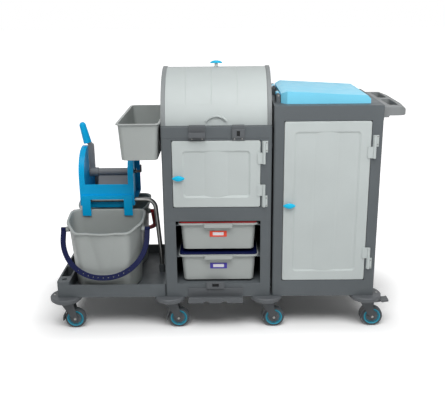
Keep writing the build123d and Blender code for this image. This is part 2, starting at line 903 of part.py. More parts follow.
bucket_depth = (depth - bucket_gap) / 2 - bucket_margin
bucket_foot = bucket_width / 2 - bucket_rim - bucket_taper
bucket_x = tray_left + beam_width + bucket_beam_gap + bucket_foot
bucket_rim_front = tray_floor + bucket_front_height
bucket_rim_back = tray_floor + bucket_back_height
bail_inner = bucket_width / 2 + bail_side_gap
bail_front_reach = (bucket_depth / 2 + bail_front_clear) / sin(radians(bail_front_tilt))
bail_rear_reach = (bucket_depth / 2 + bail_rear_clear) / sin(radians(bail_rear_tilt))
bucket_slope = (bucket_rim_back - bucket_rim_front) / bucket_depth
bucket_starts = {"front": front + bucket_margin, "rear": back - bucket_margin - bucket_depth}


def bucket_outline(start, inset, z):
    """The bucket's plan: a narrow nose at the front and trimmed corners at the back."""
    half = bucket_width / 2 - inset
    nose = bucket_nose_width / 2 - inset * bucket_nose_width / bucket_width
    y0 = start + inset
    y1 = start + bucket_depth - inset
    trim = bucket_back_chamfer
    points = [(-nose, y0), (nose, y0), (half, y0 + bucket_nose_depth), (half, y1 - trim),
              (half - trim, y1), (trim - half, y1), (-half, y1 - trim), (-half, y0 + bucket_nose_depth)]
    face = make_face(Polyline(*points, close=True))
    return Pos(bucket_x, 0, z) * fillet(face.vertices(), bucket_corner)


def bucket_prism(start, inset, low):
    """A tapered prism, as wide as the rim less inset at the height of the back rim."""
    foot = bucket_outline(start, inset + bucket_taper, low)
    return loft([foot, bucket_outline(start, inset, bucket_rim_back)])


def rim_cut(start, below):
    """A block that removes all that lies above the sloping rim line, lowered by below."""
    plane = Plane(origin=(bucket_x, start, bucket_rim_front - below), x_dir=(1, 0, 0),
                  z_dir=(0, -bucket_slope, 1))
    return extrude(plane * Rectangle(bucket_width * 2, bucket_depth * 4), bucket_depth)


def bail_pivot(start):
    """The middle point between a bucket's two bail pins."""
    y = start + bucket_depth / 2
    z = bucket_rim_front + bucket_slope * bucket_depth / 2 - bail_drop
    return (bucket_x, y, z)


def make_bucket(start):
    floor = tray_floor
    skin = bucket_rim
    outside = bucket_prism(start, skin, floor)
    inside = bucket_prism(start, skin + tub_wall, floor)
    inside -= block(bucket_x - bucket_width, bucket_x + bucket_width, start - bucket_depth,
                    start + 2 * bucket_depth, floor, floor + tub_wall)
    collar = bucket_prism(start, 0, floor)
    collar -= block(bucket_x - bucket_width, bucket_x + bucket_width, start - bucket_depth,
                    start + 2 * bucket_depth, floor, bucket_rim_front - bucket_depth / 4)
    top = rim_cut(start, 0)
    under = rim_cut(start, bucket_rim_thickness)
    collar = (collar & under) - top
    tip = (bucket_x, start + bucket_rim + spout_half_depth - spout_reach, bucket_rim_front - spout_height)
    cone_plane = Plane(origin=tip, x_dir=(1, 0, 0), z_dir=(0, 0, 1))
    mouth_plane = cone_plane.offset(spout_height)
    spout = loft([cone_plane * Ellipse(spout_tip_half_width, spout_tip_half_depth),
                  mouth_plane * Ellipse(spout_half_width, spout_half_depth)])
    hollow = loft([cone_plane * Ellipse(spout_tip_half_width - tub_wall, spout_tip_half_depth - tub_wall),
                   mouth_plane * Ellipse(spout_half_width - tub_wall, spout_half_depth - tub_wall)])
    body = outside - top + collar + (spout - top)
    body = body - inside - hollow
    x, y, z = bail_pivot(start)
    for side in (-1, 1):
        root = bucket_width / 2 - bucket_rim - bucket_taper / 2
        pad_end = bail_inner - seat_gap
        boss = rod((x + side * root, y, z), (side, 0, 0), bail_boss_radius, pad_end - root)
        pin = rod((x + side * pad_end, y, z), (side, 0, 0), bail_pin_radius, bail_pin_length)
        body += (boss + pin) - inside
    return body


def make_bail(start, tilt, reach, corner):
    """A moulded bail that hangs towards the front or, with a negative tilt, to the back."""
    pivot = bail_pivot(start)
    a = radians(tilt)
    plane = Plane(origin=pivot, x_dir=(1, 0, 0), z_dir=(0, -cos(a), sin(a)))
    half = bail_inner + bail_width / 2
    grow = bail_width / 2
    shape = RectangleRounded(2 * (half + grow), 2 * (reach + grow), corner + grow)
    shape -= RectangleRounded(2 * (half - grow), 2 * (reach - grow), corner - grow)
    shape &= Pos(0, -reach) * Rectangle(4 * half, 2 * reach)
    for i in range(bail_hole_count):
        x = (i - (bail_hole_count - 1) / 2) * bail_hole_pitch
        past = max(abs(x) - (half - corner), 0)
        shape -= Pos(x, corner - reach - (corner ** 2 - past ** 2) ** 0.5) * Circle(bail_hole_radius)
    strap = extrude(plane * shape, bail_thickness / 2, both=True)
    for side in (-1, 1):
        eye_start = (pivot[0] + side * bail_inner, pivot[1], pivot[2])
        strap += rod(eye_start, (side, 0, 0), bail_eye_radius, bail_width)
        strap -= rod(eye_start, (side, 0, 0), bail_pin_radius + bore_gap, bail_width)
    return strap


# Hoop that carries the wringer

hoop_x0 = tray_left + hoop_left
hoop_x1 = hoop_x0 + hoop_width
hoop_top0 = (hoop_x0 + hoop_x1 - hoop_top_width) / 2
hoop_top1 = hoop_top0 + hoop_top_width


def hoop_sweep(radius, inner):
    """Sweep a round or, with an inner radius, a tubular section along the hoop."""
    route = FilletPolyline((hoop_x0, 0, tray_floor), (hoop_x0, 0, tray_top + hoop_bend),
                           (hoop_top0, 0, hoop_height), (hoop_top1, 0, hoop_height),
                           (hoop_x1, 0, tray_top + hoop_bend), (hoop_x1, 0, tray_floor),
                           radius=hoop_bend)
    start = Plane(origin=route @ 0, z_dir=route % 0)
    section = Circle(radius)
    if inner:
        section -= Circle(inner)
    return sweep(start * section, path=route)


# Wringer

wringer_x0 = tray_left + wringer_left
wringer_x1 = wringer_x0 + wringer_width
cheek_front = wringer_pivot_y - cheek_round
cheek_back = wringer_pivot_y + cheek_round


def cheek_outline(inset):
    """The cheek's side view about the lever pivot: a round head on a straight stand."""
    radius = cheek_round - inset
    low = cheek_bottom - wringer_pivot_z + inset
    head = CenterArc((0, 0), radius, 0, 180)
    stand = Polyline((-radius, 0), (-radius, low), (radius, low), (radius, 0))
    return make_face([head, *stand.edges()])


def make_wringer_frame():
    y, z = wringer_pivot_y, wringer_pivot_z
    body = None
    for outer, side in ((wringer_x0, 1), (wringer_x1, -1)):
        inner = outer + side * cheek_width
        x0, x1 = sorted((outer, inner))
        p0, p1 = sorted((outer, inner - side * cheek_skin))
        cheek = along_x(cheek_outline(0), x0, x1, y, z)
        cheek -= along_x(cheek_outline(cheek_skin), p0, p1, y, z)
        b0, b1 = sorted((outer + side * cheek_width / 2, inner))
        cheek += rod((b0, y, z), (1, 0, 0), shaft_radius + 2 * cheek_skin, b1 - b0)
        cheek -= rod((x0, y, z), (1, 0, 0), shaft_radius + bore_gap, cheek_width)
        body = cheek if body is None else body + cheek
    plate_low = cross_plate_top - cross_plate_height
    inner0 = wringer_x0 + cheek_width
    inner1 = wringer_x1 - cheek_width
    body += block(inner0, inner1, cheek_front, cheek_front + cheek_skin, plate_low, cross_plate_top)
    body += block(inner0, inner1, cheek_back - cheek_skin, cheek_back, cheek_bottom, cross_plate_top)
    floor = block(inner0, inner1, cheek_front, cheek_back, cheek_bottom, cheek_bottom + hopper_floor)
    floor -= block(inner0, inner1, cheek_front, hoop_tube_radius + skirt_thickness,
                   cheek_bottom, cheek_bottom + hopper_floor)
    pitch = (inner1 - inner0) / drain_slot_count
    for i in range(drain_slot_count):
        x = inner0 + pitch * (i + 0.5)
        floor -= block(x - drain_slot / 2, x + drain_slot / 2, cheek_front + cheek_round,
                       cheek_back - 2 * cheek_skin, cheek_bottom, cheek_bottom + hopper_floor)
    body += floor
    return body


def make_hooks():
    """Hooks inside the front bucket, a saddle on the hoop and a skirt behind it."""
    saddle = hoop_height + hoop_tube_radius + seat_gap
    bridge_top = cross_plate_top - cross_plate_height + cheek_skin
    hook_back = bucket_starts["front"] + bucket_depth - bucket_rim - tub_wall - hook_clear
    hook_front = hook_back - hook_thickness
    skirt_front = hoop_tube_radius + seat_gap
    skirt_back = skirt_front + skirt_thickness
    inner0 = wringer_x0 + cheek_width
    inner1 = wringer_x1 - cheek_width
    body = block(inner0, inner1, hook_front, skirt_back, saddle, bridge_top)
    for x in (wringer_x0 + hook_inset, wringer_x1 - hook_inset - hook_width):
        body += block(x, x + hook_width, hook_front, hook_back, hoop_height - hook_drop, bridge_top)
        body += block(x, x + hook_width, hook_front, cheek_front + cheek_skin, saddle, bridge_top)
    return body + block(inner0, inner1, skirt_front, skirt_back, hoop_height - skirt_drop, saddle)


def make_grid():
    """The drilled press plate, which leans on the back wall of the hopper."""
    x0 = wringer_x0 + cheek_width + run_gap
    x1 = wringer_x1 - cheek_width - run_gap
    lean = radians(grid_lean)
    foot_y = cheek_back - cheek_skin - grid_height * sin(lean) - grid_thickness
    foot_z = cheek_bottom + hopper_floor
    plane = Plane(origin=((x0 + x1) / 2, foot_y, foot_z), x_dir=(1, 0, 0), z_dir=(0, -cos(lean), sin(lean)))
    sheet = Pos(0, grid_height / 2) * Rectangle(x1 - x0, grid_height)
    for row in range(grid_rows):
        for column in range(grid_columns):
            x = (column - (grid_columns - 1) / 2) * grid_pitch
            height = grid_height / 2 + (row - (grid_rows - 1) / 2) * grid_pitch
            sheet -= Pos(x, height) * Circle(grid_hole_radius)
    body = extrude(plane * sheet, -grid_thickness)
    return body - block(x0, x1, cheek_front, cheek_back, chassis_height, foot_z)


lever_x0 = wringer_x0 + cheek_width + lever_side_gap
lever_x1 = lever_x0 + lever_hub_width
lever_middle = lever_x0 + lever_width / 2


def grip_plane():
    """Where the grip starts on the cranked end of the lever, facing along the grip."""
    low = Vector(lever_middle - lever_lean / 2, wringer_pivot_y, wringer_pivot_z + lever_knee + lever_crank)
    high = Vector(lever_middle - lever_lean, wringer_pivot_y, wringer_pivot_z + lever_reach)
    return Plane(origin=low, x_dir=(0, 1, 0), z_dir=high - low), (high - low).length


def make_lever():
    """The cranked lever with its shaft, which turns in both cheeks, and the tang for the grip."""
    y, z = wringer_pivot_y, wringer_pivot_z
    hub = rod((lever_x0, y, z), (1, 0, 0), lever_hub_radius, lever_hub_width)
    shaft = rod((wringer_x0, y, z), (1, 0, 0), shaft_radius, wringer_width)
    level = Plane(origin=(lever_middle, y, z))
    section = level * Rectangle(lever_width, lever_thickness)
    arm = extrude(section, lever_knee)
    start, _ = grip_plane()
    neck = start * Rectangle(lever_thickness, lever_thickness)
    crank = loft([level.offset(lever_knee) * Rectangle(lever_width, lever_thickness), neck])
    tang = extrude(start * Circle(lever_tang_radius), grip_socket)
    return hub + arm + crank + tang + shaft


def make_grip():
    """The moulded grip that is pushed over the lever's tang."""
    start, length = grip_plane()
    straight = length - grip_tip_radius
    body = loft([start * Circle(grip_radius), start.offset(straight) * Circle(grip_tip_radius)])
    body += start.offset(straight) * Sphere(grip_tip_radius)
    return body - extrude(start * Circle(lever_tang_radius + bore_gap), grip_socket)


def make_paddle():
    """The press paddle on its sleeve, keyed to the lever's shaft."""
    y, z = wringer_pivot_y, wringer_pivot_z
    x0 = lever_x1 + seat_gap
    x1 = wringer_x1 - cheek_width - run_gap
    sleeve = rod((x0, y, z), (1, 0, 0), sleeve_radius, x1 - x0)
    tilt = radians(paddle_tilt)
    plane = Plane(origin=((x0 + x1) / 2, y, z), x_dir=(1, 0, 0), z_dir=(0, -cos(tilt), sin(tilt)))
    sheet = Pos(0, -paddle_length / 2) * Rectangle(x1 - x0, paddle_length)
    body = sleeve + extrude(plane * sheet, paddle_thickness / 2, both=True)
    pitch = (x1 - x0) / (paddle_rib_count + 1)
    reach = paddle_length - paddle_rib
    for i in range(paddle_rib_count):
        x = -(x1 - x0) / 2 + pitch * (i + 1)
        bar = Pos(x, -reach / 2) * Rectangle(paddle_rib, reach)
        body += extrude(plane * bar, -paddle_thickness / 2 - paddle_rib)
    body -= rod((x0, y, z), (1, 0, 0), shaft_radius, x1 - x0)
    return body


def make_mop_clip():
    """A hook for a mop handle, fixed to the web of the right cheek."""
    web = wringer_x1 - cheek_width + cheek_skin
    x1 = wringer_x1 + clip_reach
    y0, y1 = clip_y, clip_y + clip_length
    z0 = cheek_bottom + clip_rise
    z1 = z0 + clip_height
    body = block(web, x1, y0, y1, z0, z0 + clip_wall)
    body += block(web, web + clip_wall, y0 - clip_wall, y1 + clip_wall, z0 - clip_wall, z1)
    body += block(x1 - clip_wall, x1, y0, y1, z0, z1)
    body += block(wringer_x1, wringer_x1 + clip_wall, y0, y1, z0, z0 + clip_height / 2)
    return body


# Right cabinet, bag cover and push handle

def make_right_base():
    columns = [caster_columns["handle"]]
    body = make_cabinet_base(right_left, right_right, right_base_top, columns)
    return body + link_lugs(mid_right, right_left, tray_floor)


def make_right_shell():
    body = make_shell(right_left, right_right, right_base_top, right_deck_bottom, [right_place.opening()])
    return body + link_lugs(mid_right, right_left, door_top - link_height - link_margin)


cover_x0 = right_left + cover_left
cover_x1 = cover_x0 + cover_width
cover_y0 = -cover_depth / 2
cover_y1 = cover_depth / 2
cover_axis_x = cover_x0 - cover_pivot_out
cover_axis_z = right_deck_top + cover_pivot_rise


def cover_profile(inset):
    """The cover's front view: a wedge, tall on the hinge side, with bevelled top edges."""
    width = cover_width - 2 * inset
    tall = cover_tall - inset
    low = cover_low - inset
    bevel = cover_bevel
    fall = (tall - low) / width
    long = cover_hinge_bevel
    points = [(0, 0), (width, 0), (width, low - bevel + fall * bevel), (width - bevel, low + fall * bevel),
              (long, tall - fall * long), (0, tall - bevel)]
    return Pos(inset, 0) * make_face(Polyline(*points, close=True))


def cover_knuckles():
    """Places along Y of the cover's knuckles and of the lugs on both sides of each."""
    spans = []
    for y in (-cover_knuckle_y, cover_knuckle_y):
        spans.append((y - cover_knuckle_length / 2, y + cover_knuckle_length / 2))
    return spans


def make_bag_cover():
    z = right_deck_top + seat_gap
    body = along_y(cover_profile(0), cover_y0, cover_y1, cover_x0, z)
    hollow = along_y(cover_profile(cover_wall), cover_y0 + cover_bevel, cover_y1 - cover_bevel, cover_x0, z)
    body = chamfer(body.edges().filter_by(Axis.Z).group_by(Axis.X)[0], cover_corner)
    hollow = chamfer(hollow.edges().filter_by(Axis.Z).group_by(Axis.X)[0], cover_corner)
    edges = body.edges().filter_by(Axis.Y, reverse=True).group_by(Axis.Y)
    for rim_edges in (edges[0], edges[-1]):
        tops = [e for e in rim_edges if e.center().Z > z + cover_low - cover_bevel / 2]
        body = chamfer(tops, cover_end_bevel)
    body -= hollow
    for y0, y1 in cover_knuckles():
        arm = block(cover_axis_x, cover_x0 + cover_wall, y0, y1,
                    cover_axis_z - cover_knuckle_radius, cover_axis_z)
        knuckle = rod((cover_axis_x, y0, cover_axis_z), (0, 1, 0), cover_knuckle_radius, y1 - y0)
        body += arm + knuckle
        body -= rod((cover_axis_x, y0, cover_axis_z), (0, 1, 0), cover_pin_radius + bore_gap, y1 - y0)
    return body


def make_right_deck():
    low, top = right_deck_bottom, right_deck_top
    body = rounded_block(right_left, right_right, front, back, low, top, bag_mouth_corner)
    body -= block(right_left + wall, right_right - wall, front + wall, back - wall, low, top - wall)
    m = bag_mouth_margin
    x0, x1, y0, y1 = cover_x0 + m, cover_x1 - m, cover_y0 + m, cover_y1 - m
    body += rounded_block(x0 - tub_wall, x1 + tub_wall, y0 - tub_wall, y1 + tub_wall,
                          top - wall, top + bag_collar_height, bag_mouth_corner + tub_wall)
    body -= rounded_block(x0, x1, y0, y1, low, top + bag_collar_height, bag_mouth_corner)
    for y0, y1 in cover_knuckles():
        for start in (y0 - run_gap - cover_lug_length, y1 + run_gap):
            lug = block(cover_axis_x - cover_knuckle_radius, cover_axis_x + cover_knuckle_radius,
                        start, start + cover_lug_length, top - wall, cover_axis_z)
            pivot = (cover_axis_x, start, cover_axis_z)
            lug += rod(pivot, (0, 1, 0), cover_knuckle_radius, cover_lug_length)
            body += lug
            body -= rod(pivot, (0, 1, 0), cover_pin_radius, cover_lug_length)
    return body


def make_cover_pins():
    """One steel pin through each knuckle and its two lugs."""
    pins = []
    for y0, y1 in cover_knuckles():
        low = y0 - run_gap - cover_lug_length
        high = y1 + run_gap + cover_lug_length
        pins.append(rod((cover_axis_x, low, cover_axis_z), (0, 1, 0), cover_pin_radius, high - low))
    return pins


def make_push_handle():
    top = right_deck_top - handle_drop
    x0 = right_right
    x1 = right_right + handle_reach
    half = handle_span / 2
    plate = rounded_block(x0 - handle_corner, x1, -half, half, top - handle_thickness, top, handle_corner)
    plate -= block(x0 - handle_corner, x0, -half, half, top - handle_thickness, top)
    plate = fillet(plate.edges().group_by(Axis.Z)[-1], handle_edge)
    root = block(x0, x0 + handle_bar / 2, -half, half, top - handle_root, top - handle_edge)
    body = plate + root
    hole_x0 = x0 + handle_bar
    hole_x1 = x1 - handle_bar
    for side in (-1, 1):
        y0, y1 = sorted((side * handle_web / 2, side * (half - handle_bar)))
        body -= rounded_block(hole_x0, hole_x1, y0, y1, top - handle_root, top, handle_hole_corner)
    return body


# Holders on the front

holder_low = deck_top - holder_height


def holder_blank(offset, width):
    """A plate that hangs over the front edge of the middle deck, and its two ends in X."""
    x0 = mid_left + offset - width / 2
    x1 = x0 + width
    plate = block(x0, x1, front - holder_plate, front, holder_low, deck_top + holder_plate)
    lap = block(x0, x1, front - holder_plate, front + holder_lap, deck_top, deck_top + holder_plate)
    return plate + lap, x0, x1


def make_band_hook():
    body, x0, x1 = holder_blank(band_hook_x, band_hook_width)
    reach = front - holder_reach
    floor = holder_low + holder_lap - holder_plate
    body += block(x0, x1, reach, front, floor, floor + holder_plate)
    return body + block(x0, x1, reach, reach + holder_plate, floor, floor + holder_lap)


def make_band_clip():
    body, x0, x1 = holder_blank(band_clip_x, band_clip_width)
    face = front - 2 * holder_plate
    margin = holder_lap / 2
    body += block(x0, x1, face, front, holder_low + margin, deck_top - margin)
    middle = (x0 + x1) / 2
    half = holder_slot_width / 2
    return body - block(middle - half, middle + half, face, front - holder_plate / 2,
                        holder_low + margin + holder_plate, deck_top - margin - holder_plate)


def make_tool_ledge():
    """A fold-over clip, a back plate and a ribbed shelf under the drawers."""
    middle = mid_left + ledge_x
    x0 = middle - ledge_width / 2
    x1 = middle + ledge_width / 2
    top = chassis_height + ledge_height
    face = front - holder_plate
    reach = front - ledge_reach
    shelf_low = chassis_height - ledge_shelf
    body = block(x0, x1, face, front, shelf_low, top)
    body += block(x0, x1, reach, front, shelf_low, shelf_low + ledge_shelf)
    lip_low = shelf_low - ledge_lip_drop
    body += block(x0, x1, reach, reach + holder_plate, lip_low, shelf_low + ledge_lip)
    pitch = (x1 - x0) / ledge_tooth_count
    for i in range(1, ledge_tooth_count):
        x = x0 + pitch * i
        body -= block(x - ledge_notch / 2, x + ledge_notch / 2, reach, reach + holder_plate,
                      lip_low, lip_low + ledge_notch_height)
    half = ledge_clip_width / 2
    clip_top = drawer_floors["lower"] - ledge_clip_gap
    clip = block(middle - half, middle + half, front - ledge_clip_depth, front, top, clip_top)
    hole = ledge_clip_hole_width / 2
    z = (top + clip_top) / 2
    clip -= block(middle - hole, middle + hole, front - ledge_clip_depth, front - holder_plate / 2,
                  z - ledge_clip_hole_height / 2, z + ledge_clip_hole_height / 2)
    return body + clip


# Casters

def make_bumper(x, y):
    """A round bumper under a corner, bored for the caster's stem."""
    r = bumper_radius
    low = bumper_bottom
    high = chassis_height
    e = bumper_edge_radius
    points = [(stem_radius + bore_gap, low), (r - bumper_bevel, low), (r, low + bumper_bevel),
              (r, high - e), (r - e, high), (stem_radius + bore_gap, high)]
    profile = make_face(Plane.XZ * Polyline(*points, close=True))
    return Pos(x, y, 0) * revolve(profile, Axis.Z, 360)


def make_fork(x, y, braked):
    """A swivel fork with its stem, and the axle as a second solid."""
    inner = wheel_width / 2 + fork_side_gap
    outer = inner + fork_wall
    wheel_z = wheel_radius
    plate = rod((0, 0, fork_top - fork_plate_thickness), (0, 0, 1), fork_plate_radius, fork_plate_thickness)
    stem_top = chassis_height + stem_socket
    stem = rod((0, 0, fork_top), (0, 0, 1), stem_radius, stem_top - fork_top)
    r = fork_boss_radius
    t = caster_trail
    outline = make_face(Polyline((-fork_plate_radius, fork_top), (fork_plate_radius, fork_top),
                                 (t + r, wheel_z), (t - r, wheel_z), close=True))
    outline += Pos(t, wheel_z) * Circle(r)
    hood_inner = wheel_radius + fork_hood_gap
    hood = ring_sector(hood_inner, hood_inner + fork_wall, fork_hood_start, fork_hood_sweep)
    hood = Pos(t, wheel_z) * hood
    legs = along_y(outline, -outer, -inner, 0, 0) + along_y(outline, inner, outer, 0, 0)
    body = plate + stem + legs + along_y(hood, -outer, outer, 0, 0)
    body -= rod((t, -outer, wheel_z), (0, 1, 0), axle_radius, 2 * outer)
    if braked:
        body -= rod((pedal_pivot_x, -outer, pedal_z), (0, 1, 0), pedal_pin_radius + bore_gap, 2 * outer)
    axle = rod((t, -outer, wheel_z), (0, 1, 0), axle_radius, 2 * outer)
    return [Pos(x, y, 0) * body, Pos(x, y, 0) * axle]


def make_wheel(x, y):
    """A wheel: the hub and, as a second solid, the tyre round it."""
    half = wheel_width / 2
    bead = wheel_radius - tyre_thickness
    bore = axle_radius + bore_gap
    hub_points = [(bore, -half), (hub_radius, -half), (hub_radius, hub_dish - half),
                  (bead - tyre_crown, hub_dish - half), (bead, -half + tyre_crown / 2),
                  (bead, half - tyre_crown / 2), (bead - tyre_crown, half - hub_dish),
                  (hub_radius, half - hub_dish), (hub_radius, half), (bore, half)]
    tyre_points = [(bead, -half), (wheel_radius - tyre_crown, -half), (wheel_radius, tyre_crown - half),
                   (wheel_radius, half - tyre_crown), (wheel_radius - tyre_crown, half), (bead, half)]
    solids = []
    for points in (hub_points, tyre_points):
        profile = make_face(Polyline(*[(r, v, 0) for r, v in points], close=True))
        solid = revolve(profile, Axis.Y, 360)
        solids.append(Pos(x + caster_trail, y, wheel_radius) * solid)
    return solids


def make_pedal(x, y):
    """A brake pedal between the fork's legs, with its shoe above the tyre."""
    z = pedal_z
    slope = radians(pedal_slope)
    plane = Plane(origin=(x + pedal_pivot_x, y, z), x_dir=(cos(slope), 0, sin(slope)),
                  z_dir=(-sin(slope), 0, cos(slope)))
    reach = pedal_reach - pedal_pivot_x
    arm = Pos(reach / 2, 0) * Rectangle(reach, pedal_width)
    tread = RectangleRounded(pedal_tread_length, pedal_tread_width, tub_wall)
    tread = Pos(reach - pedal_tread_length / 2, 0) * tread
    body = extrude(plane * arm, pedal_thickness / 2, both=True)
    body += extrude(plane * tread, pedal_thickness / 2, both=True)
    eye = rod((x + pedal_pivot_x, y - pedal_width / 2, z), (0, 1, 0), pedal_thickness, pedal_width)
    shoe_drop = brake_shoe_length * sin(radians(pedal_travel))
    shoe_low = 2 * wheel_radius + shoe_drop + brake_shoe_gap
    shoe = block(x + pedal_pivot_x, x + pedal_pivot_x + brake_shoe_length, y - pedal_width / 2 + tub_wall,
                 y + pedal_width / 2 - tub_wall, shoe_low, z)
    pin_half = wheel_width / 2 + fork_side_gap + fork_wall
    pin = rod((x + pedal_pivot_x, y - pin_half, z), (0, 1, 0), pedal_pin_radius, 2 * pin_half)
    return body + eye + shoe + pin


# Every piece of the trolley, by the name of its node
mid_columns = [caster_columns["mid_left"], caster_columns["mid_right"]]
door_places = (mid_place, right_place)
nodes = {
    "base_tray": [make_base_tray()],
    "mid_base": [make_cabinet_base(mid_left, mid_right, mid_base_top, mid_columns)],
    "drawer_cabinet_shell": [make_drawer_shell()],
    "door_cabinet_shell": [make_door_shell()],
    "mid_shelf": [make_shelf()],
    "mid_back_panel": [make_back_panel(mid_left, mid_right, mid_base_top, door_top)],
    "mid_top_deck": [make_mid_deck()],
    "right_base": [make_right_base()],
    "right_cabinet_shell": [make_right_shell()],
    "right_back_panel": [make_back_panel(right_left, right_right, right_base_top, right_deck_bottom)],
    "right_top_deck": [make_right_deck()],
    "hood_housing": [make_hood_housing()],
    "hood_lid": [make_hood_lid()],
    "hood_knob": [make_hood_knob()],
    "mid_door": [make_door(mid_place)],
    "mid_door_knob": [make_door_knob(mid_place)],
    "right_door": [make_door(right_place)],
    "right_door_knob": [make_door_knob(right_place)],
    "door_hinge_brackets": [make_hinge_bracket(place, i) for place in door_places for i in (0, 1)],
    "drawer_upper": [make_drawer(drawer_floors["upper"])],
    "drawer_upper_lid": [make_drawer_lid(drawer_floors["upper"])],
    "drawer_lower": [make_drawer(drawer_floors["lower"])],
    "drawer_lower_lid": [make_drawer_lid(drawer_floors["lower"])],
    "tray_bin": [make_tray_bin()],
    "bin_hanger_rail": [make_bin_hanger()],
    "bucket_front": [make_bucket(bucket_starts["front"])],
    "bucket_rear": [make_bucket(bucket_starts["rear"])],
    "bail_front": [make_bail(bucket_starts["front"], bail_front_tilt, bail_front_reach, bail_front_corner)],
    "bail_rear": [make_bail(bucket_starts["rear"], -bail_rear_tilt, bail_rear_reach, bail_rear_corner)],
    "wringer_hoop": [hoop_sweep(hoop_tube_radius, hoop_tube_radius - hoop_tube_wall)],
    "wringer_frame": [make_wringer_frame() + make_hooks() - hoop_sweep(hoop_tube_radius + seat_gap, 0)],
    "wringer_grid": [make_grid()],
    "wringer_lever": [make_lever()],
    "wringer_paddle": [make_paddle()],
    "lever_grip": [make_grip()],
    "mop_handle_clip": [make_mop_clip()],
    "bag_cover": [make_bag_cover()],
    "cover_hinge_pins": make_cover_pins(),
    "push_handle": [make_push_handle()],
    "band_tool_holders": [make_band_hook(), make_band_clip()],
    "tool_ledge": [make_tool_ledge()],
    "bumper_discs": [make_bumper(x, y) for x, y in casters.values()],
}
for name, (x, y) in casters.items():
    nodes[f"fork_{name}"] = make_fork(x, y, x == caster_columns["handle"])
    nodes[f"wheel_{name}"] = make_wheel(x, y)
for row in caster_rows:
    nodes[f"brake_pedal_{row}"] = [make_pedal(*casters[f"{row}_handle"])]

os.makedirs("parts", exist_ok=True)
for name, solids in nodes.items():
    export_step(Compound(children=solids), f"parts/{name}.step")
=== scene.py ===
# %% [markdown]
# # A housekeeping trolley
# The solid pieces of the trolley come from a imported frame, in metres, with the floor at z = 0, the front on
# -Y and the push handle on +X. This lesson dresses them: it rounds the edges of the mouldings, gives every
# piece a finish, adds the small parts that a factory fits last, and lights it all for a catalogue picture.
# The first cell loads the frame. It also measures where three big pieces start on the left, because small
# parts are placed from there in millimetres.

# %% Load the frame
import json
import math

import bmesh
import bpy
from mathutils import Matrix, Vector

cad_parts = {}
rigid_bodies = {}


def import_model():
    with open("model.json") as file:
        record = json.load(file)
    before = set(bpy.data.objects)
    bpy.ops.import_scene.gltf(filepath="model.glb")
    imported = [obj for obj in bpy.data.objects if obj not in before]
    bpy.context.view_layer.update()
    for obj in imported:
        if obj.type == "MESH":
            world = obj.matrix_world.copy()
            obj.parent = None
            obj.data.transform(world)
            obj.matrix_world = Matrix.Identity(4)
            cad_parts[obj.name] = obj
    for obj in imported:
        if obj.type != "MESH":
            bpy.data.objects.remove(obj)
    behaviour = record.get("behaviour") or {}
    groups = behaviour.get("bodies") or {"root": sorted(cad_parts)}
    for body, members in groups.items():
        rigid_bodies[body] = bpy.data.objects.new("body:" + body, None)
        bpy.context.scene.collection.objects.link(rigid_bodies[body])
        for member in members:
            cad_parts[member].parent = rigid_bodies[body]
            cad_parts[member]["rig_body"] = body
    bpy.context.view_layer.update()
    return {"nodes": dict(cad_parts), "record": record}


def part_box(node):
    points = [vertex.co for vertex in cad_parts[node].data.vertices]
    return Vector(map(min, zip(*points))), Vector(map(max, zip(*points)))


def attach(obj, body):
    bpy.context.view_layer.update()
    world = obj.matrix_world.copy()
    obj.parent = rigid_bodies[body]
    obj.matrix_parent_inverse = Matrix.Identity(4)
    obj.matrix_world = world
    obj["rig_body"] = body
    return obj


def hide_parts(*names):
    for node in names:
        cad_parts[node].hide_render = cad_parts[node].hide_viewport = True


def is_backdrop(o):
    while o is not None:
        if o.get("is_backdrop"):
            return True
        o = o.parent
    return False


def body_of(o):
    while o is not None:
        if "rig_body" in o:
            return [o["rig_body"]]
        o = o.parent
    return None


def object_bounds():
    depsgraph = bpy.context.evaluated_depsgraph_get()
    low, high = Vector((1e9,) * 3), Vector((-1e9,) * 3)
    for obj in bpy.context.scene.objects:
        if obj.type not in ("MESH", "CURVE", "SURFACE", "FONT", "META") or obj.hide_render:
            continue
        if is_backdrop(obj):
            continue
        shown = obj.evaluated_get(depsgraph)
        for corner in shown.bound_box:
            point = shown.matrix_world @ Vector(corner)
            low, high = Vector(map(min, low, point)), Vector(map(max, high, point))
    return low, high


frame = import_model()
nodes = frame["nodes"]
slot_of = {row["node"]: row["material_slot"] for row in frame["record"]["subparts"]}
mm = 0.001
anchors = ("base_tray", "mid_base", "right_top_deck")
tray_left, mid_left, right_left = (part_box(node)[0][0] / mm for node in anchors)

# %% [markdown]
# ## Moulded plastic
# Almost everything here is injection-moulded. Such plastic isn't one flat colour: the pigment drifts a
# little, the mould leaves a fine spark-eroded grain, and corners that are touched a lot turn paler. An
# image could be painted for that, but nodes fit any shape and any size. Every material starts in the same
# way, with Object coordinates, so that a pattern stays on its piece when the piece moves.

# %% Start a material
def linear(r, g, b):
    """A colour as it is read off a screen, 0 to 255, in Blender's linear values."""
    return tuple(pow(v / 255.0, 2.2) for v in (r, g, b))


def tint(colour, amount):
    """A colour made lighter (over 1) or darker (under 1), with its alpha."""
    return tuple(min(max(c * amount, 0.0), 1.0) for c in colour) + (1.0,)


def start_material(name):
    """A fresh material: its node tree, its shader and its Object coordinates."""
    material = bpy.data.materials.new(name)
    material.use_nodes = True
    tree = material.node_tree
    place = tree.nodes.new("ShaderNodeTexCoord").outputs["Object"]
    return material, tree, tree.nodes["Principled BSDF"], place


print("middle grey in linear values", [round(v, 3) for v in linear(128, 128, 128)])

# %% [markdown]
# Three kinds of node do most of the work. A Noise texture gives a grey value that changes from place to
# place, a Color Ramp blends two colours by it, and a Map Range spreads it over a range, such as the
# roughness. Values that are the same all over need no node: they go straight on the shader's sockets.

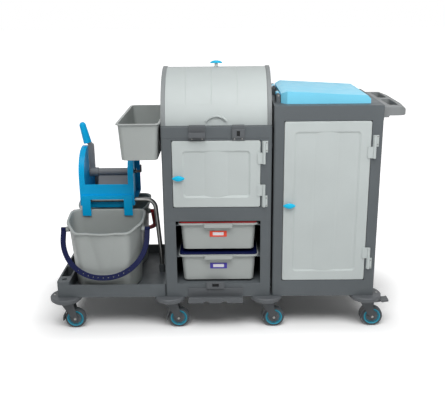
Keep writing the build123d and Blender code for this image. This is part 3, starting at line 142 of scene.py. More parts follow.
# %% Noise, ramp and range
def noise(tree, place, scale, detail=3.0):
    """A Noise texture's grey value on the given coordinates."""
    node = tree.nodes.new("ShaderNodeTexNoise")
    node.inputs["Scale"].default_value = scale
    node.inputs["Detail"].default_value = detail
    tree.links.new(place, node.inputs["Vector"])
    return node.outputs["Fac"]


def ramp(tree, source, low, high, start=0.3, end=0.7):
    """Two colours, blended by a grey value."""
    node = tree.nodes.new("ShaderNodeValToRGB")
    for element, position, colour in zip(node.color_ramp.elements, (start, end), (low, high)):
        element.position = position
        element.color = colour
    tree.links.new(source, node.inputs["Fac"])
    return node.outputs["Color"]


def spread(tree, source, low, high, start=0.3, end=0.7):
    """A grey value, spread over a range."""
    node = tree.nodes.new("ShaderNodeMapRange")
    for socket, value in (("From Min", start), ("From Max", end), ("To Min", low), ("To Max", high)):
        node.inputs[socket].default_value = value
    tree.links.new(source, node.inputs["Value"])
    return node.outputs["Result"]


print("helpers ready: noise, ramp, spread")

# %% [markdown]
# A worn edge is found by comparing two normals. The Bevel node bends its normal near an edge, so the angle
# to the face's own normal says how near the edge is. A noise breaks this mask up, because wear is never
# even. The mould's grain is a bump: it only tilts the normal, which is enough for marks this fine.

# %% Worn edges and grain
edge_begins, edge_full = 0.985, 0.75
patch_scale, bevel_samples = 45.0, 4


def worn_edges(tree, place, radius):
    """A patchy mask of the edges, from the angle between the Bevel node's normal and the face's own."""
    bevel = tree.nodes.new("ShaderNodeBevel")
    bevel.samples = bevel_samples
    bevel.inputs["Radius"].default_value = radius
    face = tree.nodes.new("ShaderNodeNewGeometry")
    turn = tree.nodes.new("ShaderNodeVectorMath")
    turn.operation = "DOT_PRODUCT"
    tree.links.new(bevel.outputs["Normal"], turn.inputs[0])
    tree.links.new(face.outputs["Normal"], turn.inputs[1])
    patchy = tree.nodes.new("ShaderNodeMath")
    patchy.operation = "MULTIPLY"
    near_edge = spread(tree, turn.outputs["Value"], 0.0, 1.0, edge_begins, edge_full)
    tree.links.new(near_edge, patchy.inputs[0])
    tree.links.new(noise(tree, place, patch_scale, 2.0), patchy.inputs[1])
    return patchy.outputs["Value"]


def bumped(tree, shader, height, strength, distance):
    """Send a grey value to the shader's normal as a bump."""
    bump = tree.nodes.new("ShaderNodeBump")
    bump.inputs["Strength"].default_value = strength
    bump.inputs["Distance"].default_value = distance
    tree.links.new(height, bump.inputs["Height"])
    tree.links.new(bump.outputs["Normal"], shader.inputs["Normal"])


print("worn edges begin at", round(math.degrees(math.acos(edge_begins))), "degrees")

# %% [markdown]
# One function makes every plastic of the trolley. Each call gives a colour, a range of roughness, how much
# the pigment drifts and how far the worn edges go towards a paler tone.

# %% A recipe for moulded plastic
pigment_scale, polish_scale = 5.0, 22.0
edge_reach, grain_height = 2 * mm, 0.6 * mm


def moulded(name, colour, rough=(0.42, 0.55), drift=0.05, grain=900.0, depth=0.12, wear=1.25, gloss=0.3):
    """A moulded plastic: drifting pigment, spark-eroded grain and slightly worn edges."""
    material, tree, shader, place = start_material(name)
    drifting = noise(tree, place, pigment_scale, 4.0)
    pigment = ramp(tree, drifting, tint(colour, 1 - drift), tint(colour, 1 + drift))
    mix = tree.nodes.new("ShaderNodeMix")
    mix.data_type = "RGBA"
    mix.inputs["B"].default_value = tint(colour, wear)
    tree.links.new(worn_edges(tree, place, edge_reach), mix.inputs["Factor"])
    tree.links.new(pigment, mix.inputs["A"])
    tree.links.new(mix.outputs["Result"], shader.inputs["Base Color"])
    tree.links.new(spread(tree, noise(tree, place, polish_scale), *rough), shader.inputs["Roughness"])
    shader.inputs["Specular IOR Level"].default_value = gloss
    bumped(tree, shader, noise(tree, place, grain, 2.0), depth, grain_height)
    return material


print("recipe ready: moulded")

# %% [markdown]
# Greys carry the trolley: dark for the cabinets, paler for the doors, the hood, the buckets and the tubs.
# The blues mark the wringer, the knobs and the bag cover. Red and navy tell the two buckets and the two
# drawers apart. Colours are written as they are read off a screen.

# %% The plastics of the trolley
finishes = {
    "body_grey": moulded("cabinet_grey_plastic", linear(88, 93, 96), rough=(0.48, 0.62), depth=0.16),
    "panel_grey": moulded("door_pale_grey_plastic", linear(183, 190, 189), drift=0.03, wear=1.1),
    "cheek_grey": moulded("hood_cheek_grey_plastic", linear(132, 136, 137), rough=(0.45, 0.6)),
    "handle_grey": moulded("handle_grey_plastic", linear(127, 130, 131), rough=(0.45, 0.6)),
    "tub_grey": moulded("tub_grey_plastic", linear(162, 167, 165), rough=(0.36, 0.5), drift=0.03, wear=1.15),
    "wringer_blue": moulded("wringer_blue_plastic", linear(0, 168, 226), rough=(0.32, 0.44), drift=0.04,
                            gloss=0.18),
    "cover_blue": moulded("bag_cover_blue_plastic", linear(124, 210, 240), rough=(0.34, 0.46), drift=0.03,
                          wear=1.1),
    "knob_blue": moulded("knob_blue_plastic", linear(16, 182, 224), rough=(0.28, 0.4), drift=0.03),
    "navy": moulded("navy_plastic", linear(22, 28, 64), rough=(0.4, 0.52), wear=1.1, gloss=0.1),
    "red": moulded("red_plastic", linear(176, 28, 34), rough=(0.3, 0.44)),
    "dark_grey": moulded("dark_grey_plastic", linear(88, 91, 94), rough=(0.45, 0.6), depth=0.18),
    "lever_grey": moulded("lever_grey_plastic", linear(122, 123, 125), rough=(0.4, 0.55), depth=0.14),
}
print("plastics", sorted(finishes))

# %% [markdown]
# ## Steel, paint and rubber
# The wringer hangs on a bent steel tube. It is brushed, so a Mapping node stretches its noise one way. The
# caster forks are painted, which the plastic's recipe gives with a coarser grain. The tyres are rubber with
# a dusty bloom.

# %% Steel, fork paint and tyre rubber
def brushed(name, colour, stretch):
    """Brushed steel: noise that is stretched one way, in the colour, the roughness and the bump."""
    material, tree, shader, place = start_material(name)
    mapping = tree.nodes.new("ShaderNodeMapping")
    mapping.inputs["Scale"].default_value = stretch
    tree.links.new(place, mapping.inputs["Vector"])
    lines = noise(tree, mapping.outputs["Vector"], 4.0, 5.0)
    tree.links.new(ramp(tree, lines, tint(colour, 0.82), tint(colour, 1.12)), shader.inputs["Base Color"])
    tree.links.new(spread(tree, lines, 0.26, 0.42), shader.inputs["Roughness"])
    shader.inputs["Metallic"].default_value = 1.0
    bumped(tree, shader, lines, 0.08, 0.3 * mm)
    return material


def rubber(name, colour):
    """Rubber: a pale dusty bloom over the compound."""
    material, tree, shader, place = start_material(name)
    bloom = noise(tree, place, 60.0, 6.0)
    tree.links.new(ramp(tree, bloom, tint(colour, 0.8), tint(colour, 1.3)), shader.inputs["Base Color"])
    tree.links.new(spread(tree, bloom, 0.62, 0.82), shader.inputs["Roughness"])
    bumped(tree, shader, noise(tree, place, 700.0), 0.2, 0.5 * mm)
    return material


finishes["steel"] = brushed("brushed_steel", linear(150, 150, 148), (6.0, 260.0, 260.0))
finishes["fork_metal"] = moulded("fork_grey_paint", linear(76, 79, 82), rough=(0.35, 0.5), grain=300.0)
finishes["tyre"] = rubber("tyre_grey_rubber", linear(66, 71, 75))
print("finishes", len(finishes))

# %% [markdown]
# ## Dress the solid pieces
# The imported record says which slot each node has, and a slot names a finish. The wringer's lever and paddle
# have the slot of the dark grey parts, but are moulded in a paler grey. A CAD node keeps its mesh; only its
# material changes.

# %% Give every CAD node its finish
look_of = dict(slot_of, wringer_lever="lever_grey", wringer_paddle="lever_grey")
for node, look in look_of.items():
    mesh = nodes[node].data
    mesh.materials.clear()
    mesh.materials.append(finishes[look])
print("dressed", len(look_of))

# %% [markdown]
# ## Finish a piece
# Most pieces that this lesson adds are built with bmesh, and they end in the same way: doubles are merged,
# normals turn outward, shading is smooth except over sharp edges, and the object sits at the origin,
# unturned.

# %% Finish a bmesh, and bake modifiers
sharp_turn = 38.0
weld_piece = 0.005 * mm


def finished(name, shape, material, sharp=sharp_turn):
    """Merge doubles, turn the normals outward and make an object at the origin."""
    bmesh.ops.remove_doubles(shape, verts=shape.verts, dist=weld_piece)
    bmesh.ops.recalc_face_normals(shape, faces=shape.faces)
    limit = math.radians(sharp)
    for face in shape.faces:
        face.smooth = True
    for edge in shape.edges:
        edge.smooth = edge.calc_face_angle(0.0) < limit
    mesh = bpy.data.meshes.new(name)
    shape.to_mesh(mesh)
    shape.free()
    mesh.materials.append(material)
    made = bpy.data.objects.new(name, mesh)
    bpy.context.scene.collection.objects.link(made)
    return made


def baked(piece):
    """Turn a piece's modifiers into plain mesh."""
    bpy.context.view_layer.update()
    ready = piece.evaluated_get(bpy.context.evaluated_depsgraph_get())
    mesh = bpy.data.meshes.new_from_object(ready)
    piece.modifiers.clear()
    piece.data = mesh
    return piece


print("sharp edges turn by more than", sharp_turn, "degrees")

# %% [markdown]
# ## Round the edges of the mouldings
# A mould can't make a sharp corner, and a corner that catches no light looks like cardboard. A CAD mesh is
# loose triangles, so each node is copied and its doubles are merged. Triangles that lie flat beside each
# other are dissolved into whole faces, and concave ones are split, because narrow triangles would hold the
# radius near zero. Then a Bevel modifier rounds every sharp edge, and leaves the facets of round surfaces
# alone. The copy rides on the node's body and stands for the node.

# %% Round a copy of a node
weld_copy, flat_turn = 0.02 * mm, math.radians(0.5)


def rounded(node, radius, segments=2, form=None):
    """A copy of a CAD node with rounded edges, which stands for the node; form can shape it first."""
    shape = bmesh.new()
    shape.from_mesh(nodes[node].data)
    bmesh.ops.remove_doubles(shape, verts=shape.verts, dist=weld_copy)
    bmesh.ops.dissolve_limit(shape, angle_limit=flat_turn, verts=shape.verts, edges=shape.edges)
    bmesh.ops.connect_verts_concave(shape, faces=shape.faces)
    if form:
        form(shape)
    piece = finished(f"{node}_moulding", shape, finishes[look_of[node]])
    bevel = piece.modifiers.new("round_edges", "BEVEL")
    bevel.width = radius * mm
    bevel.segments = segments
    bevel.limit_method = "ANGLE"
    bevel.angle_limit = math.radians(sharp_turn)
    bevel.harden_normals = True
    baked(piece)
    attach(piece, body_of(nodes[node])[0])
    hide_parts(node)
    return len(piece.data.polygons)


print("helper ready: rounded")

# %% [markdown]
# Big mouldings get the larger radius, thin ones a smaller one. The bag cover is the softest of all, and its
# rounding has more steps.

# %% Round the mouldings
edge_radius = {
    "base_tray": 1.2, "mid_base": 1.2, "right_base": 1.2, "drawer_cabinet_shell": 1.2,
    "door_cabinet_shell": 1.2, "right_cabinet_shell": 1.2, "mid_top_deck": 2.5, "right_top_deck": 1.5,
    "hood_housing": 1.5, "hood_lid": 0.8,
    "drawer_upper": 1.2, "drawer_lower": 1.2, "drawer_upper_lid": 1.5, "drawer_lower_lid": 1.5,
    "tray_bin": 1.2, "wringer_frame": 1.6, "wringer_lever": 2.0, "wringer_paddle": 1.0,
    "mop_handle_clip": 1.5, "band_tool_holders": 1.2, "tool_ledge": 1.2,
    "brake_pedal_front": 1.5, "brake_pedal_rear": 1.5,
}
for node, radius in edge_radius.items():
    print(node, rounded(node, radius), "faces")
print("bag_cover", rounded("bag_cover", 4.0, segments=4), "faces")

# %% [markdown]
# The push handle's outer bar falls away towards its tip, most of all at its two ends, so that a hand closes
# round it. Its copy is cut across at a few places, and from cut to cut the thickness shrinks more and more.
# The block at the handle's root is drawn out along the bar, as on the real moulding.

# %% Slope the handle's tip
nose_reach, nose_fall, nose_cuts, nose_curve = 30 * mm, 20 * mm, 8, 1.2
middle_share, end_cuts, cut_weld = 0.5, (0.5, 0.6, 0.7, 0.8), 0.01 * mm
handle_thick, root_end, root_stretch, root_slant = 42 * mm, 17 * mm, 15 * mm, 0.8
root_near = 0.1 * mm


def slope_nose(shape):
    """Cut the outer bar across, let its top fall towards the tip, and draw out the root."""
    low, high = (Vector(corner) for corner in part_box("push_handle"))
    planes = [((high.x - nose_reach * (1 - cut / nose_cuts), 0, 0), (1, 0, 0)) for cut in range(nose_cuts)]
    both_ends = [-part for part in reversed(end_cuts)] + list(end_cuts)
    planes += [((0, high.y * part, 0), (0, 1, 0)) for part in both_ends]
    for point, across in planes:
        everything = shape.verts[:] + shape.edges[:] + shape.faces[:]
        bmesh.ops.bisect_plane(shape, geom=everything, dist=cut_weld, plane_co=point, plane_no=across)
    bottom = high.z - handle_thick
    for vert in shape.verts:
        end = min(max(2 * abs(vert.co.y) / high.y - 1, 0), 1)
        strength = middle_share + (1 - middle_share) * end
        reach, fall = nose_reach * strength, nose_fall * strength
        share = max(1 - (high.x - vert.co.x) / reach, 0)
        vert.co.z = bottom + (vert.co.z - bottom) * (1 - fall / handle_thick * share ** nose_curve)
        if abs(vert.co.x - low.x - root_end) < root_near and vert.co.z < bottom + root_near:
            vert.co.x += root_stretch * (1.0 if vert.co.z > bottom - root_near else root_slant)


print("push_handle", rounded("push_handle", 2.0, form=slope_nose), "faces")

# %% [markdown]
# The wringer's lever ends in a grip that fills the hand and hides the lever's bend. Its copy is made wider
# across its own axis, its round tip grows with it, and its lower end is drawn down.

# %% Fill out the lever's grip
grip_tip, grip_wider, grip_longer, grip_middle = 12 * mm, 1.35, 13 * mm, 60 * mm
grip_lean, grip_rise = 19, 88
grip_axis = Vector((-grip_lean, 0, grip_rise)).normalized()


def fill_grip(shape):
    """Widen the grip across its axis and draw down its lower end."""
    low, high = (Vector(corner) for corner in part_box("lever_grip"))
    tip = Vector((low.x + grip_tip, (low.y + high.y) / 2, high.z - grip_tip))
    for vert in shape.verts:
        along = (vert.co - tip).dot(grip_axis)
        across = vert.co - tip - along * grip_axis
        if along > 0:
            along *= grip_wider
        elif along < -grip_middle:
            along -= grip_longer
        vert.co = tip + along * grip_axis + grip_wider * across


print("lever_grip", rounded("lever_grip", 2.5, form=fill_grip), "faces")

# %% [markdown]
# The fixed half of each door hinge is a plate on the cabinet's stile. Beside the door it leaves a slot,
# which looks dark from the front, and beyond the knuckle it goes on to carry its two screws.

# %% Shape the hinge plates
door_edges = (mid_left + 444.5, right_left + 432.0)
plate_inner, plate_outer, plate_face = 2.5, 22.5, -275.0
slot_wider, plate_longer, plate_near = 5.0, 10.0, 0.2


def shape_plates(shape):
    """Move the plates' inner and outer edges; the knuckle stays."""
    for vert in shape.verts:
        for door_edge in door_edges:
            off = vert.co.x / mm - door_edge
            if abs(off - plate_inner) < plate_near:
                vert.co.x += slot_wider * mm
            elif abs(off - plate_outer) < plate_near and vert.co.y / mm > plate_face - plate_near:
                vert.co.x += plate_longer * mm


print("door_hinge_brackets", rounded("door_hinge_brackets", 0.8, form=shape_plates), "faces")

# %% [markdown]
# ## Rings
# Many real parts are a stack of rings: a wheel, a knob, a bucket, a screw. One helper joins rings that have
# the same number of points, and can close the first and the last one. Rings are drawn flat, in millimetres,
# and then put in their place.

# %% Stack rings into a skin
def stack(shape, rings, close_first=True, close_last=True):
    """Skin a stack of rings that have the same number of points."""
    made = [[shape.verts.new(point) for point in ring] for ring in rings]
    for lower, upper in zip(made, made[1:]):
        for i in range(len(lower)):
            j = (i + 1) % len(lower)
            shape.faces.new((lower[i], lower[j], upper[j], upper[i]))
    if close_first:
        shape.faces.new(made[0])
    if close_last:
        shape.faces.new(made[-1])


def circle(radius, along, steps=24):
    """A ring in local (u, v, w): round in u and v, at w = along."""
    angles = [2 * math.pi * i / steps for i in range(steps)]
    return [Vector((radius * math.cos(a), radius * math.sin(a), along)) for a in angles]


def hexagon(radius, along, steps=24):
    """A ring of as many points as a circle, but with six flats; radius is across the flats, halved."""
    points = []
    for i in range(steps):
        a = 2 * math.pi * i / steps
        away = radius / math.cos((a + math.pi / 6) % (math.pi / 3) - math.pi / 6)
        points.append(Vector((away * math.cos(a), away * math.sin(a), along)))
    return points


def placed(rings, origin, u, w):
    """Local rings (in millimetres) put at an origin (in metres), with u across and w along."""
    u, w = Vector(u).normalized(), Vector(w).normalized()
    v = w.cross(u)
    return [[Vector(origin) + mm * (p.x * u + p.y * v + p.z * w) for p in ring] for ring in rings]


print("points of a ring", len(circle(1.0, 0.0)), "and of a hexagon", len(hexagon(1.0, 0.0)))

# %% [markdown]
# ## Casters
# Each wheel is a grey rubber tyre on a dished plastic hub. A blue ring lies where the two meet. Further in,
# where the dish begins, lies a band in a darker blue, which is painted shade: the blue dish in shadow. All of
# them are turned, as on a lathe: a closed profile of (radius, along the axle) points makes one ring per
# point. A wheel is the same on both sides, so half a profile is enough.

# %% Turn a profile
wheel_steps, wheel_sharp, ring_sharp = 64, 50.0, 60.0


def turned(name, profiles, centre, material, sharp):
    """Closed profiles turned about an axle along Y, as one piece."""
    shape = bmesh.new()
    for profile in profiles:
        rings = [circle(radius, along, wheel_steps) for radius, along in profile + profile[:1]]
        stack(shape, placed(rings, centre, (1, 0, 0), (0, 1, 0)), False, False)
    return finished(name, shape, material, sharp)


def across_wheel(half):
    """A profile's half, and the same half on the other side of the wheel, as one profile."""
    return [half + [(radius, -along) for radius, along in reversed(half)]]


def both_sides(profile):
    """A profile on one side of the wheel, and the same one on the other side."""
    return [[(radius, side * along) for radius, along in profile] for side in (-1, 1)]


tyre_half = [(38.6, -14.4), (39.6, -15), (45.6, -14.8), (48.2, -13.6), (49.6, -11.4), (50, -8.5),
             (50, -5.6), (49.3, -5.2), (49.3, -4.2), (50, -3.8)]
hub_half = [(4.1, -15), (11.8, -15), (12.8, -14.2), (13.2, -10.6), (14, -10), (31.6, -10), (33, -10.6),
            (34.4, -12.8), (35.4, -13.4), (38.6, -13.4)]
outer_ring = [(34.4, -12.4), (34.9, -14.6), (35.8, -15.3), (38, -15.3), (39.2, -14.9), (39.2, -13)]
dish_shade_ring = [(27.6, -9.5), (28, -10.9), (28.8, -11.4), (32.2, -11.6), (33.4, -11.4), (33.6, -10.4)]
print("tyre radius", max(radius for radius, _ in tyre_half), "mm")

# %% [markdown]
# The frame says where each wheel stands. The four pieces of a wheel ride on the wheel's own body, so they
# roll with it, and the CAD wheel is hidden.

# %% Make the wheels
# The band's darker blue is painted shade: it stands for the hub's blue dish in shadow.
hub_blue_and_painted_shade = {"ring": moulded("hub_ring_blue_plastic", linear(20, 150, 178), rough=(0.3, 0.42)),
             "band": moulded("hub_band_painted_shade_blue", linear(10, 112, 134), rough=(0.3, 0.42))}
caster_names = [name[len("wheel_"):] for name in nodes if name.startswith("wheel_")]
wheel_centres = {}
for name in caster_names:
    low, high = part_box(f"wheel_{name}")
    centre = (Vector(low) + Vector(high)) / 2
    wheel_centres[name] = centre
    tyre = turned(f"tyre_{name}", across_wheel(tyre_half), centre, finishes["tyre"], wheel_sharp)
    hub = turned(f"hub_{name}", across_wheel(hub_half), centre, finishes["dark_grey"], wheel_sharp)
    wheel_pieces = [(tyre, "tyre"), (hub, "dark_grey")]
    for label, profile in (("ring", outer_ring), ("band", dish_shade_ring)):
        ring = turned(f"hub_{label}_{name}", both_sides(profile), centre, hub_blue_and_painted_shade[label], ring_sharp)
        wheel_pieces.append((ring, "knob_blue"))
    for piece, slot in wheel_pieces:
        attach(piece, f"wheel_{name}")
    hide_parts(f"wheel_{name}")
print("wheels", len(caster_names))

# %% [markdown]
# ## Parts that repeat
# Ribs, nuts and screws repeat, so Geometry Nodes place them. A mesh of loose points carries an "aim" on
# each point, and a tree stands a copy of one part on every point and turns it along its aim. A loop could
# copy meshes as well, but a tree can be changed later in one place. It has named inputs for the part, its
# size, its material, and how far a random turn about the aim may go, which keeps screws from lining up.

# %% Inputs of the tree
def link(tree, *pairs):
    """Join pairs of sockets."""
    for source, target in pairs:
        tree.links.new(source, target)


stand_tree = bpy.data.node_groups.new("stand_part_on_points", "GeometryNodeTree")
face = stand_tree.interface
face.new_socket("Geometry", in_out="INPUT", socket_type="NodeSocketGeometry")
part_socket = face.new_socket("Part", in_out="INPUT", socket_type="NodeSocketObject")
size_socket = face.new_socket("Size", in_out="INPUT", socket_type="NodeSocketVector")
turn_socket = face.new_socket("Random Turn", in_out="INPUT", socket_type="NodeSocketFloat")
look_socket = face.new_socket("Material", in_out="INPUT", socket_type="NodeSocketMaterial")
face.new_socket("Geometry", in_out="OUTPUT", socket_type="NodeSocketGeometry")
print("inputs", [socket.name for socket in (part_socket, size_socket, turn_socket, look_socket)])

# %% [markdown]
# The aim is read from the points by its name. The random turn has a fixed seed, so that every run gives the
# same screws. Realize Instances makes plain mesh of the copies, and Set Material dresses it.

# %% Nodes of the tree
node_kinds = {
    "in": "NodeGroupInput", "out": "NodeGroupOutput", "part": "GeometryNodeObjectInfo",
    "aim": "GeometryNodeInputNamedAttribute", "align": "FunctionNodeAlignRotationToVector",
    "random": "FunctionNodeRandomValue", "euler": "ShaderNodeCombineXYZ",
    "turn": "FunctionNodeRotateRotation", "place": "GeometryNodeInstanceOnPoints",
    "plain": "GeometryNodeRealizeInstances", "look": "GeometryNodeSetMaterial",
}
made = {key: stand_tree.nodes.new(kind) for key, kind in node_kinds.items()}
made["aim"].data_type = "FLOAT_VECTOR"
made["aim"].inputs["Name"].default_value = "aim"
made["align"].axis = "Z"
made["random"].data_type = "FLOAT"
made["random"].inputs["Seed"].default_value = 7
made["turn"].rotation_space = "LOCAL"
number_inputs = [s for s in made["random"].inputs if s.type == "VALUE" and s.name in ("Min", "Max")]
random_low, random_high = number_inputs[:2]
random_low.default_value = 0.0
random_out = next(s for s in made["random"].outputs if s.type == "VALUE")
aim_out = next(s for s in made["aim"].outputs if s.name == "Attribute" and s.enabled)
print("tree", stand_tree.name, len(stand_tree.nodes), "nodes")

# %% [markdown]
# The links run from the points and the part to the copies, and on to the output. On the way each copy is
# first aligned with its aim, and then turned about it.

# %% Links of the tree
link(stand_tree,
     (made["in"].outputs["Geometry"], made["place"].inputs["Points"]),
     (made["in"].outputs["Part"], made["part"].inputs["Object"]),
     (made["part"].outputs["Geometry"], made["place"].inputs["Instance"]),
     (aim_out, made["align"].inputs["Vector"]),
     (made["in"].outputs["Random Turn"], random_high),
     (random_out, made["euler"].inputs["Z"]),
     (made["align"].outputs["Rotation"], made["turn"].inputs["Rotation"]),
     (made["euler"].outputs["Vector"], made["turn"].inputs["Rotate By"]),
     (made["turn"].outputs["Rotation"], made["place"].inputs["Rotation"]),
     (made["in"].outputs["Size"], made["place"].inputs["Scale"]),
     (made["place"].outputs["Instances"], made["plain"].inputs["Geometry"]),
     (made["plain"].outputs["Geometry"], made["look"].inputs["Geometry"]),
     (made["in"].outputs["Material"], made["look"].inputs["Material"]),
     (made["look"].outputs["Geometry"], made["out"].inputs["Geometry"]))
print("links", len(stand_tree.links))

# %% [markdown]
# A call gives the points in metres, each with its aim, and gets one plain mesh that rides on a body. The
# part to copy is a prototype, built at the origin in millimetres.

# %% Stand parts on a body
def stand(name, body, part, places, material, size=(1, 1, 1), turn=0.0):
    """Copies of a part on (point, aim) places, as one piece of a body."""
    mesh = bpy.data.meshes.new(name)
    mesh.from_pydata([tuple(point) for point, _ in places], [], [])
    aims = mesh.attributes.new("aim", "FLOAT_VECTOR", "POINT")
    for item, (_, aim) in zip(aims.data, places):
        item.vector = aim
    piece = bpy.data.objects.new(name, mesh)
    bpy.context.scene.collection.objects.link(piece)
    tree = piece.modifiers.new("stand", "NODES")
    tree.node_group = stand_tree
    tree[part_socket.identifier] = part
    tree[size_socket.identifier] = size
    tree[turn_socket.identifier] = turn
    tree[look_socket.identifier] = material
    baked(piece)
    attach(piece, body)
    return piece


def prototype(name, rings, sharp=40.0):
    """A part in local millimetres that is only there to be copied."""
    shape = bmesh.new()
    stack(shape, placed(rings, (0, 0, 0), (1, 0, 0), (0, 0, 1)))
    return finished(name, shape, finishes["steel"], sharp)


print("helpers ready: stand, prototype")

# %% [markdown]
# ## Hub ribs and axle nuts
# The hub's dish is stiffened by ribs, which are rounded bars laid along the radius. A bar is the same from
# all sides, so its turn about its own length doesn't matter. Each axle ends in a nut on a washer.

# %% Ribs on the hubs, nuts on the forks
bar_profile = ((0.4, 0), (0.8, 0.02), (1.0, 0.06), (1.0, 0.94), (0.8, 0.98), (0.4, 1.0))
bar = prototype("bar_part", [circle(radius, along, 12) for radius, along in bar_profile])
nut = prototype("nut_part", [circle(8.4, 0), circle(8.4, 1.0), circle(8.0, 1.4), hexagon(6.4, 1.4),
                             hexagon(6.4, 4.6), circle(6.0, 5.4), circle(3.8, 5.4), circle(3.8, 6.2),
                             circle(3.2, 6.6)], sharp=25.0)
rib_count, rib_start, rib_side, rib_size = 10, 13 * mm, 10.2 * mm, (1.6, 1.6, 22.5)
nut_side, nut_size, nut_turn = 22.5 * mm, (0.75, 0.75, 0.75), 1.0
for name in caster_names:
    centre = wheel_centres[name]
    ribs = []
    for side in (-1, 1):
        for i in range(rib_count):
            a = 2 * math.pi * i / rib_count
            out = Vector((math.cos(a), 0, math.sin(a)))
            ribs.append((centre + rib_start * out + Vector((0, side * rib_side, 0)), out))
    piece = stand(f"hub_ribs_{name}", f"wheel_{name}", bar, ribs, finishes["dark_grey"], rib_size)
    nuts = [(centre + Vector((0, side * nut_side, 0)), (0, side, 0)) for side in (-1, 1)]
    stand(f"axle_nuts_{name}", f"fork_{name}", nut, nuts, finishes["steel"], nut_size, nut_turn)
print("ribbed hubs and nuts", len(caster_names))

# %% [markdown]
# ## Screws
# Small pan-head screws hold the hinge plates and the holders on the band, and larger ones bolt the bumpers
# at the four corners. They have a six-sided socket: the rings go up the head's dome and then back down into
# the socket. Their rows follow the hinge plates and the holders.

# %% Screws on the trolley
screw = prototype("screw_part", [circle(3.2, -0.2), circle(3.2, 0.5), circle(2.9, 1.1), circle(2.3, 1.5),
                                 circle(1.7, 1.65), hexagon(1.3, 1.6), hexagon(1.25, 0.7)], sharp=30.0)
to_front, to_top = (0, -1, 0), (0, 0, 1)
plate_screw, screw_turn = 27.5, 6.0
plate_rows = ((625.0, 660.0, 882.0, 917.0), (316.0, 351.0, 905.0, 940.0))
screws = []
for door_edge, heights in zip(door_edges, plate_rows):
    for height in heights:
        screws.append((Vector((door_edge + plate_screw, plate_face, height)) * mm, to_front))
holder_row, holder_face, holder_height = (139.0, 185.0, 328.0, 362.0), -276.0, 935.5
for x in holder_row:
    screws.append((Vector((mid_left + x, holder_face, holder_height)) * mm, to_front))
stand("bracket_screws", "trolley", screw, screws, finishes["steel"], turn=screw_turn)
bolt_ends, bolt_sides, bumper_top = (right_left + 504.5, tray_left - 21.5), (-237.0, 237.0), 170.0
bolt_size = (2.0, 2.0, 1.6)
bolts = [(Vector((x, y, bumper_top)) * mm, to_top) for x in bolt_ends for y in bolt_sides]
stand("bumper_bolts", "trolley", screw, bolts, finishes["steel"], bolt_size, screw_turn)
print("screws", len(screws) + len(bolts))

# %% [markdown]
# ## Knobs
# The hood and both doors have a wing knob: a domed cap drawn out into two wings that droop at the tips, on
# a pale collar. The cap's outline is an ellipse that gets thinner towards the tips, and its rings shrink
# towards the top.

# %% The cap of a wing knob
wing_half, wing_thick = 29.0, 13.0
wing_pinch, pinch_curve, tip_droop = 0.4, 1.5, 0.5


def wing_outline(scale, base, rise, steps=40):
    """One ring of the cap: a pinched ellipse, higher in the middle than at the tips."""
    ring = []
    for i in range(steps):
        a = 2 * math.pi * i / steps
        x = wing_half * math.cos(a)
        y = wing_thick * math.sin(a) * (1 - wing_pinch * abs(math.cos(a)) ** pinch_curve)
        droop = (abs(x) * scale / wing_half) ** 2
        ring.append(Vector((x * scale, y * scale, base + rise * (1 - tip_droop * droop))))
    return ring


cap_rings = [wing_outline(0.40, 7.0, 0.0), wing_outline(0.93, 5.0, 2.4), wing_outline(0.99, 5.4, 3.0),
             wing_outline(1.0, 6.2, 4.2), wing_outline(0.97, 7.0, 6.6), wing_outline(0.88, 7.6, 9.0),
             wing_outline(0.7, 7.8, 11.0), wing_outline(0.45, 8.0, 11.8), wing_outline(0.2, 8.0, 12.0)]
print("cap rings", len(cap_rings), "of", len(cap_rings[0]), "points")

# %% [markdown]
# The knob's shaft goes through its panel. Behind a door it ends in a latch tongue, and inside the hood in a
# round flange. The hood's knob stands on a taller neck, which is slimmer too.

# %% Wing knobs
shaft_radius, shaft_top, neck_slims, cap_sharp = 6.0, 6.0, 0.3, 50.0


def wing_knob(name, origin, axis, depth, flange, neck=0.0):
    """A cap, a collar and a shaft with its flange; the collar's neck lifts the cap off the panel."""
    cap = bmesh.new()
    shaft = [circle(shaft_radius, shaft_top), circle(shaft_radius, -depth)]
    for rings in (cap_rings, shaft, flange):
        stack(cap, placed(rings, origin, (1, 0, 0), axis))
    cap_piece = finished(f"{name}_cap", cap, finishes["knob_blue"], cap_sharp)
    collar = bmesh.new()
    profile = ((12.0, -neck), (12.0, 1.6 - neck), (10.6, 2.6 - neck), (10.0, 7.2))
    rings = [circle(radius - neck_slims * neck, along) for radius, along in profile]
    stack(collar, placed(rings, origin, (1, 0, 0), axis))
    collar_piece = finished(f"{name}_collar", collar, finishes["panel_grey"])
    for piece, slot in ((cap_piece, "knob_blue"), (collar_piece, "panel_grey")):
        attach(piece, name)
    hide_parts(name)


def tongue(start, thick=4.0):
    """A latch tongue: a flat bar that points up behind the door."""
    outline = [(-8, -5), (-5, -8), (5, -8), (8, -5), (8, 35), (5, 38), (-5, 38), (-8, 35)]
    return [[Vector((x, y, start - back)) for x, y in outline] for back in (0.0, thick)]


knob_face = -272.3
door_knobs = (("mid_door_knob", mid_left + 74.5, 756.05), ("right_door_knob", right_left + 73.0, 622.93))
for name, x, z in door_knobs:
    wing_knob(name, Vector((x, knob_face, z)) * mm, to_front, depth=18.6, flange=tongue(-16.6))
hood_turn = math.radians(93.0)
hood_axis = Vector((0, -math.cos(hood_turn), math.sin(hood_turn)))
hood_middle, hood_surface = Vector((mid_left + 248.0, 0, 988)), 244.3
hood_place = (hood_middle + hood_surface * hood_axis) * mm
hood_flange = [circle(13, -13.0), circle(13, -17.0)]
wing_knob("hood_knob", hood_place, hood_axis, depth=15.0, flange=hood_flange, neck=8.0)
print("knobs", len(door_knobs) + 1)

# %% [markdown]
# ## Buckets
# Both buckets have the same moulding: a narrow nose at the front, trimmed corners at the back, a rim that
# rises to the back, and a pouring spout. Every ring is the plan outline with soft corners; the points on
# the front edge are pushed out wherever the cone of the spout stands in front of the wall.

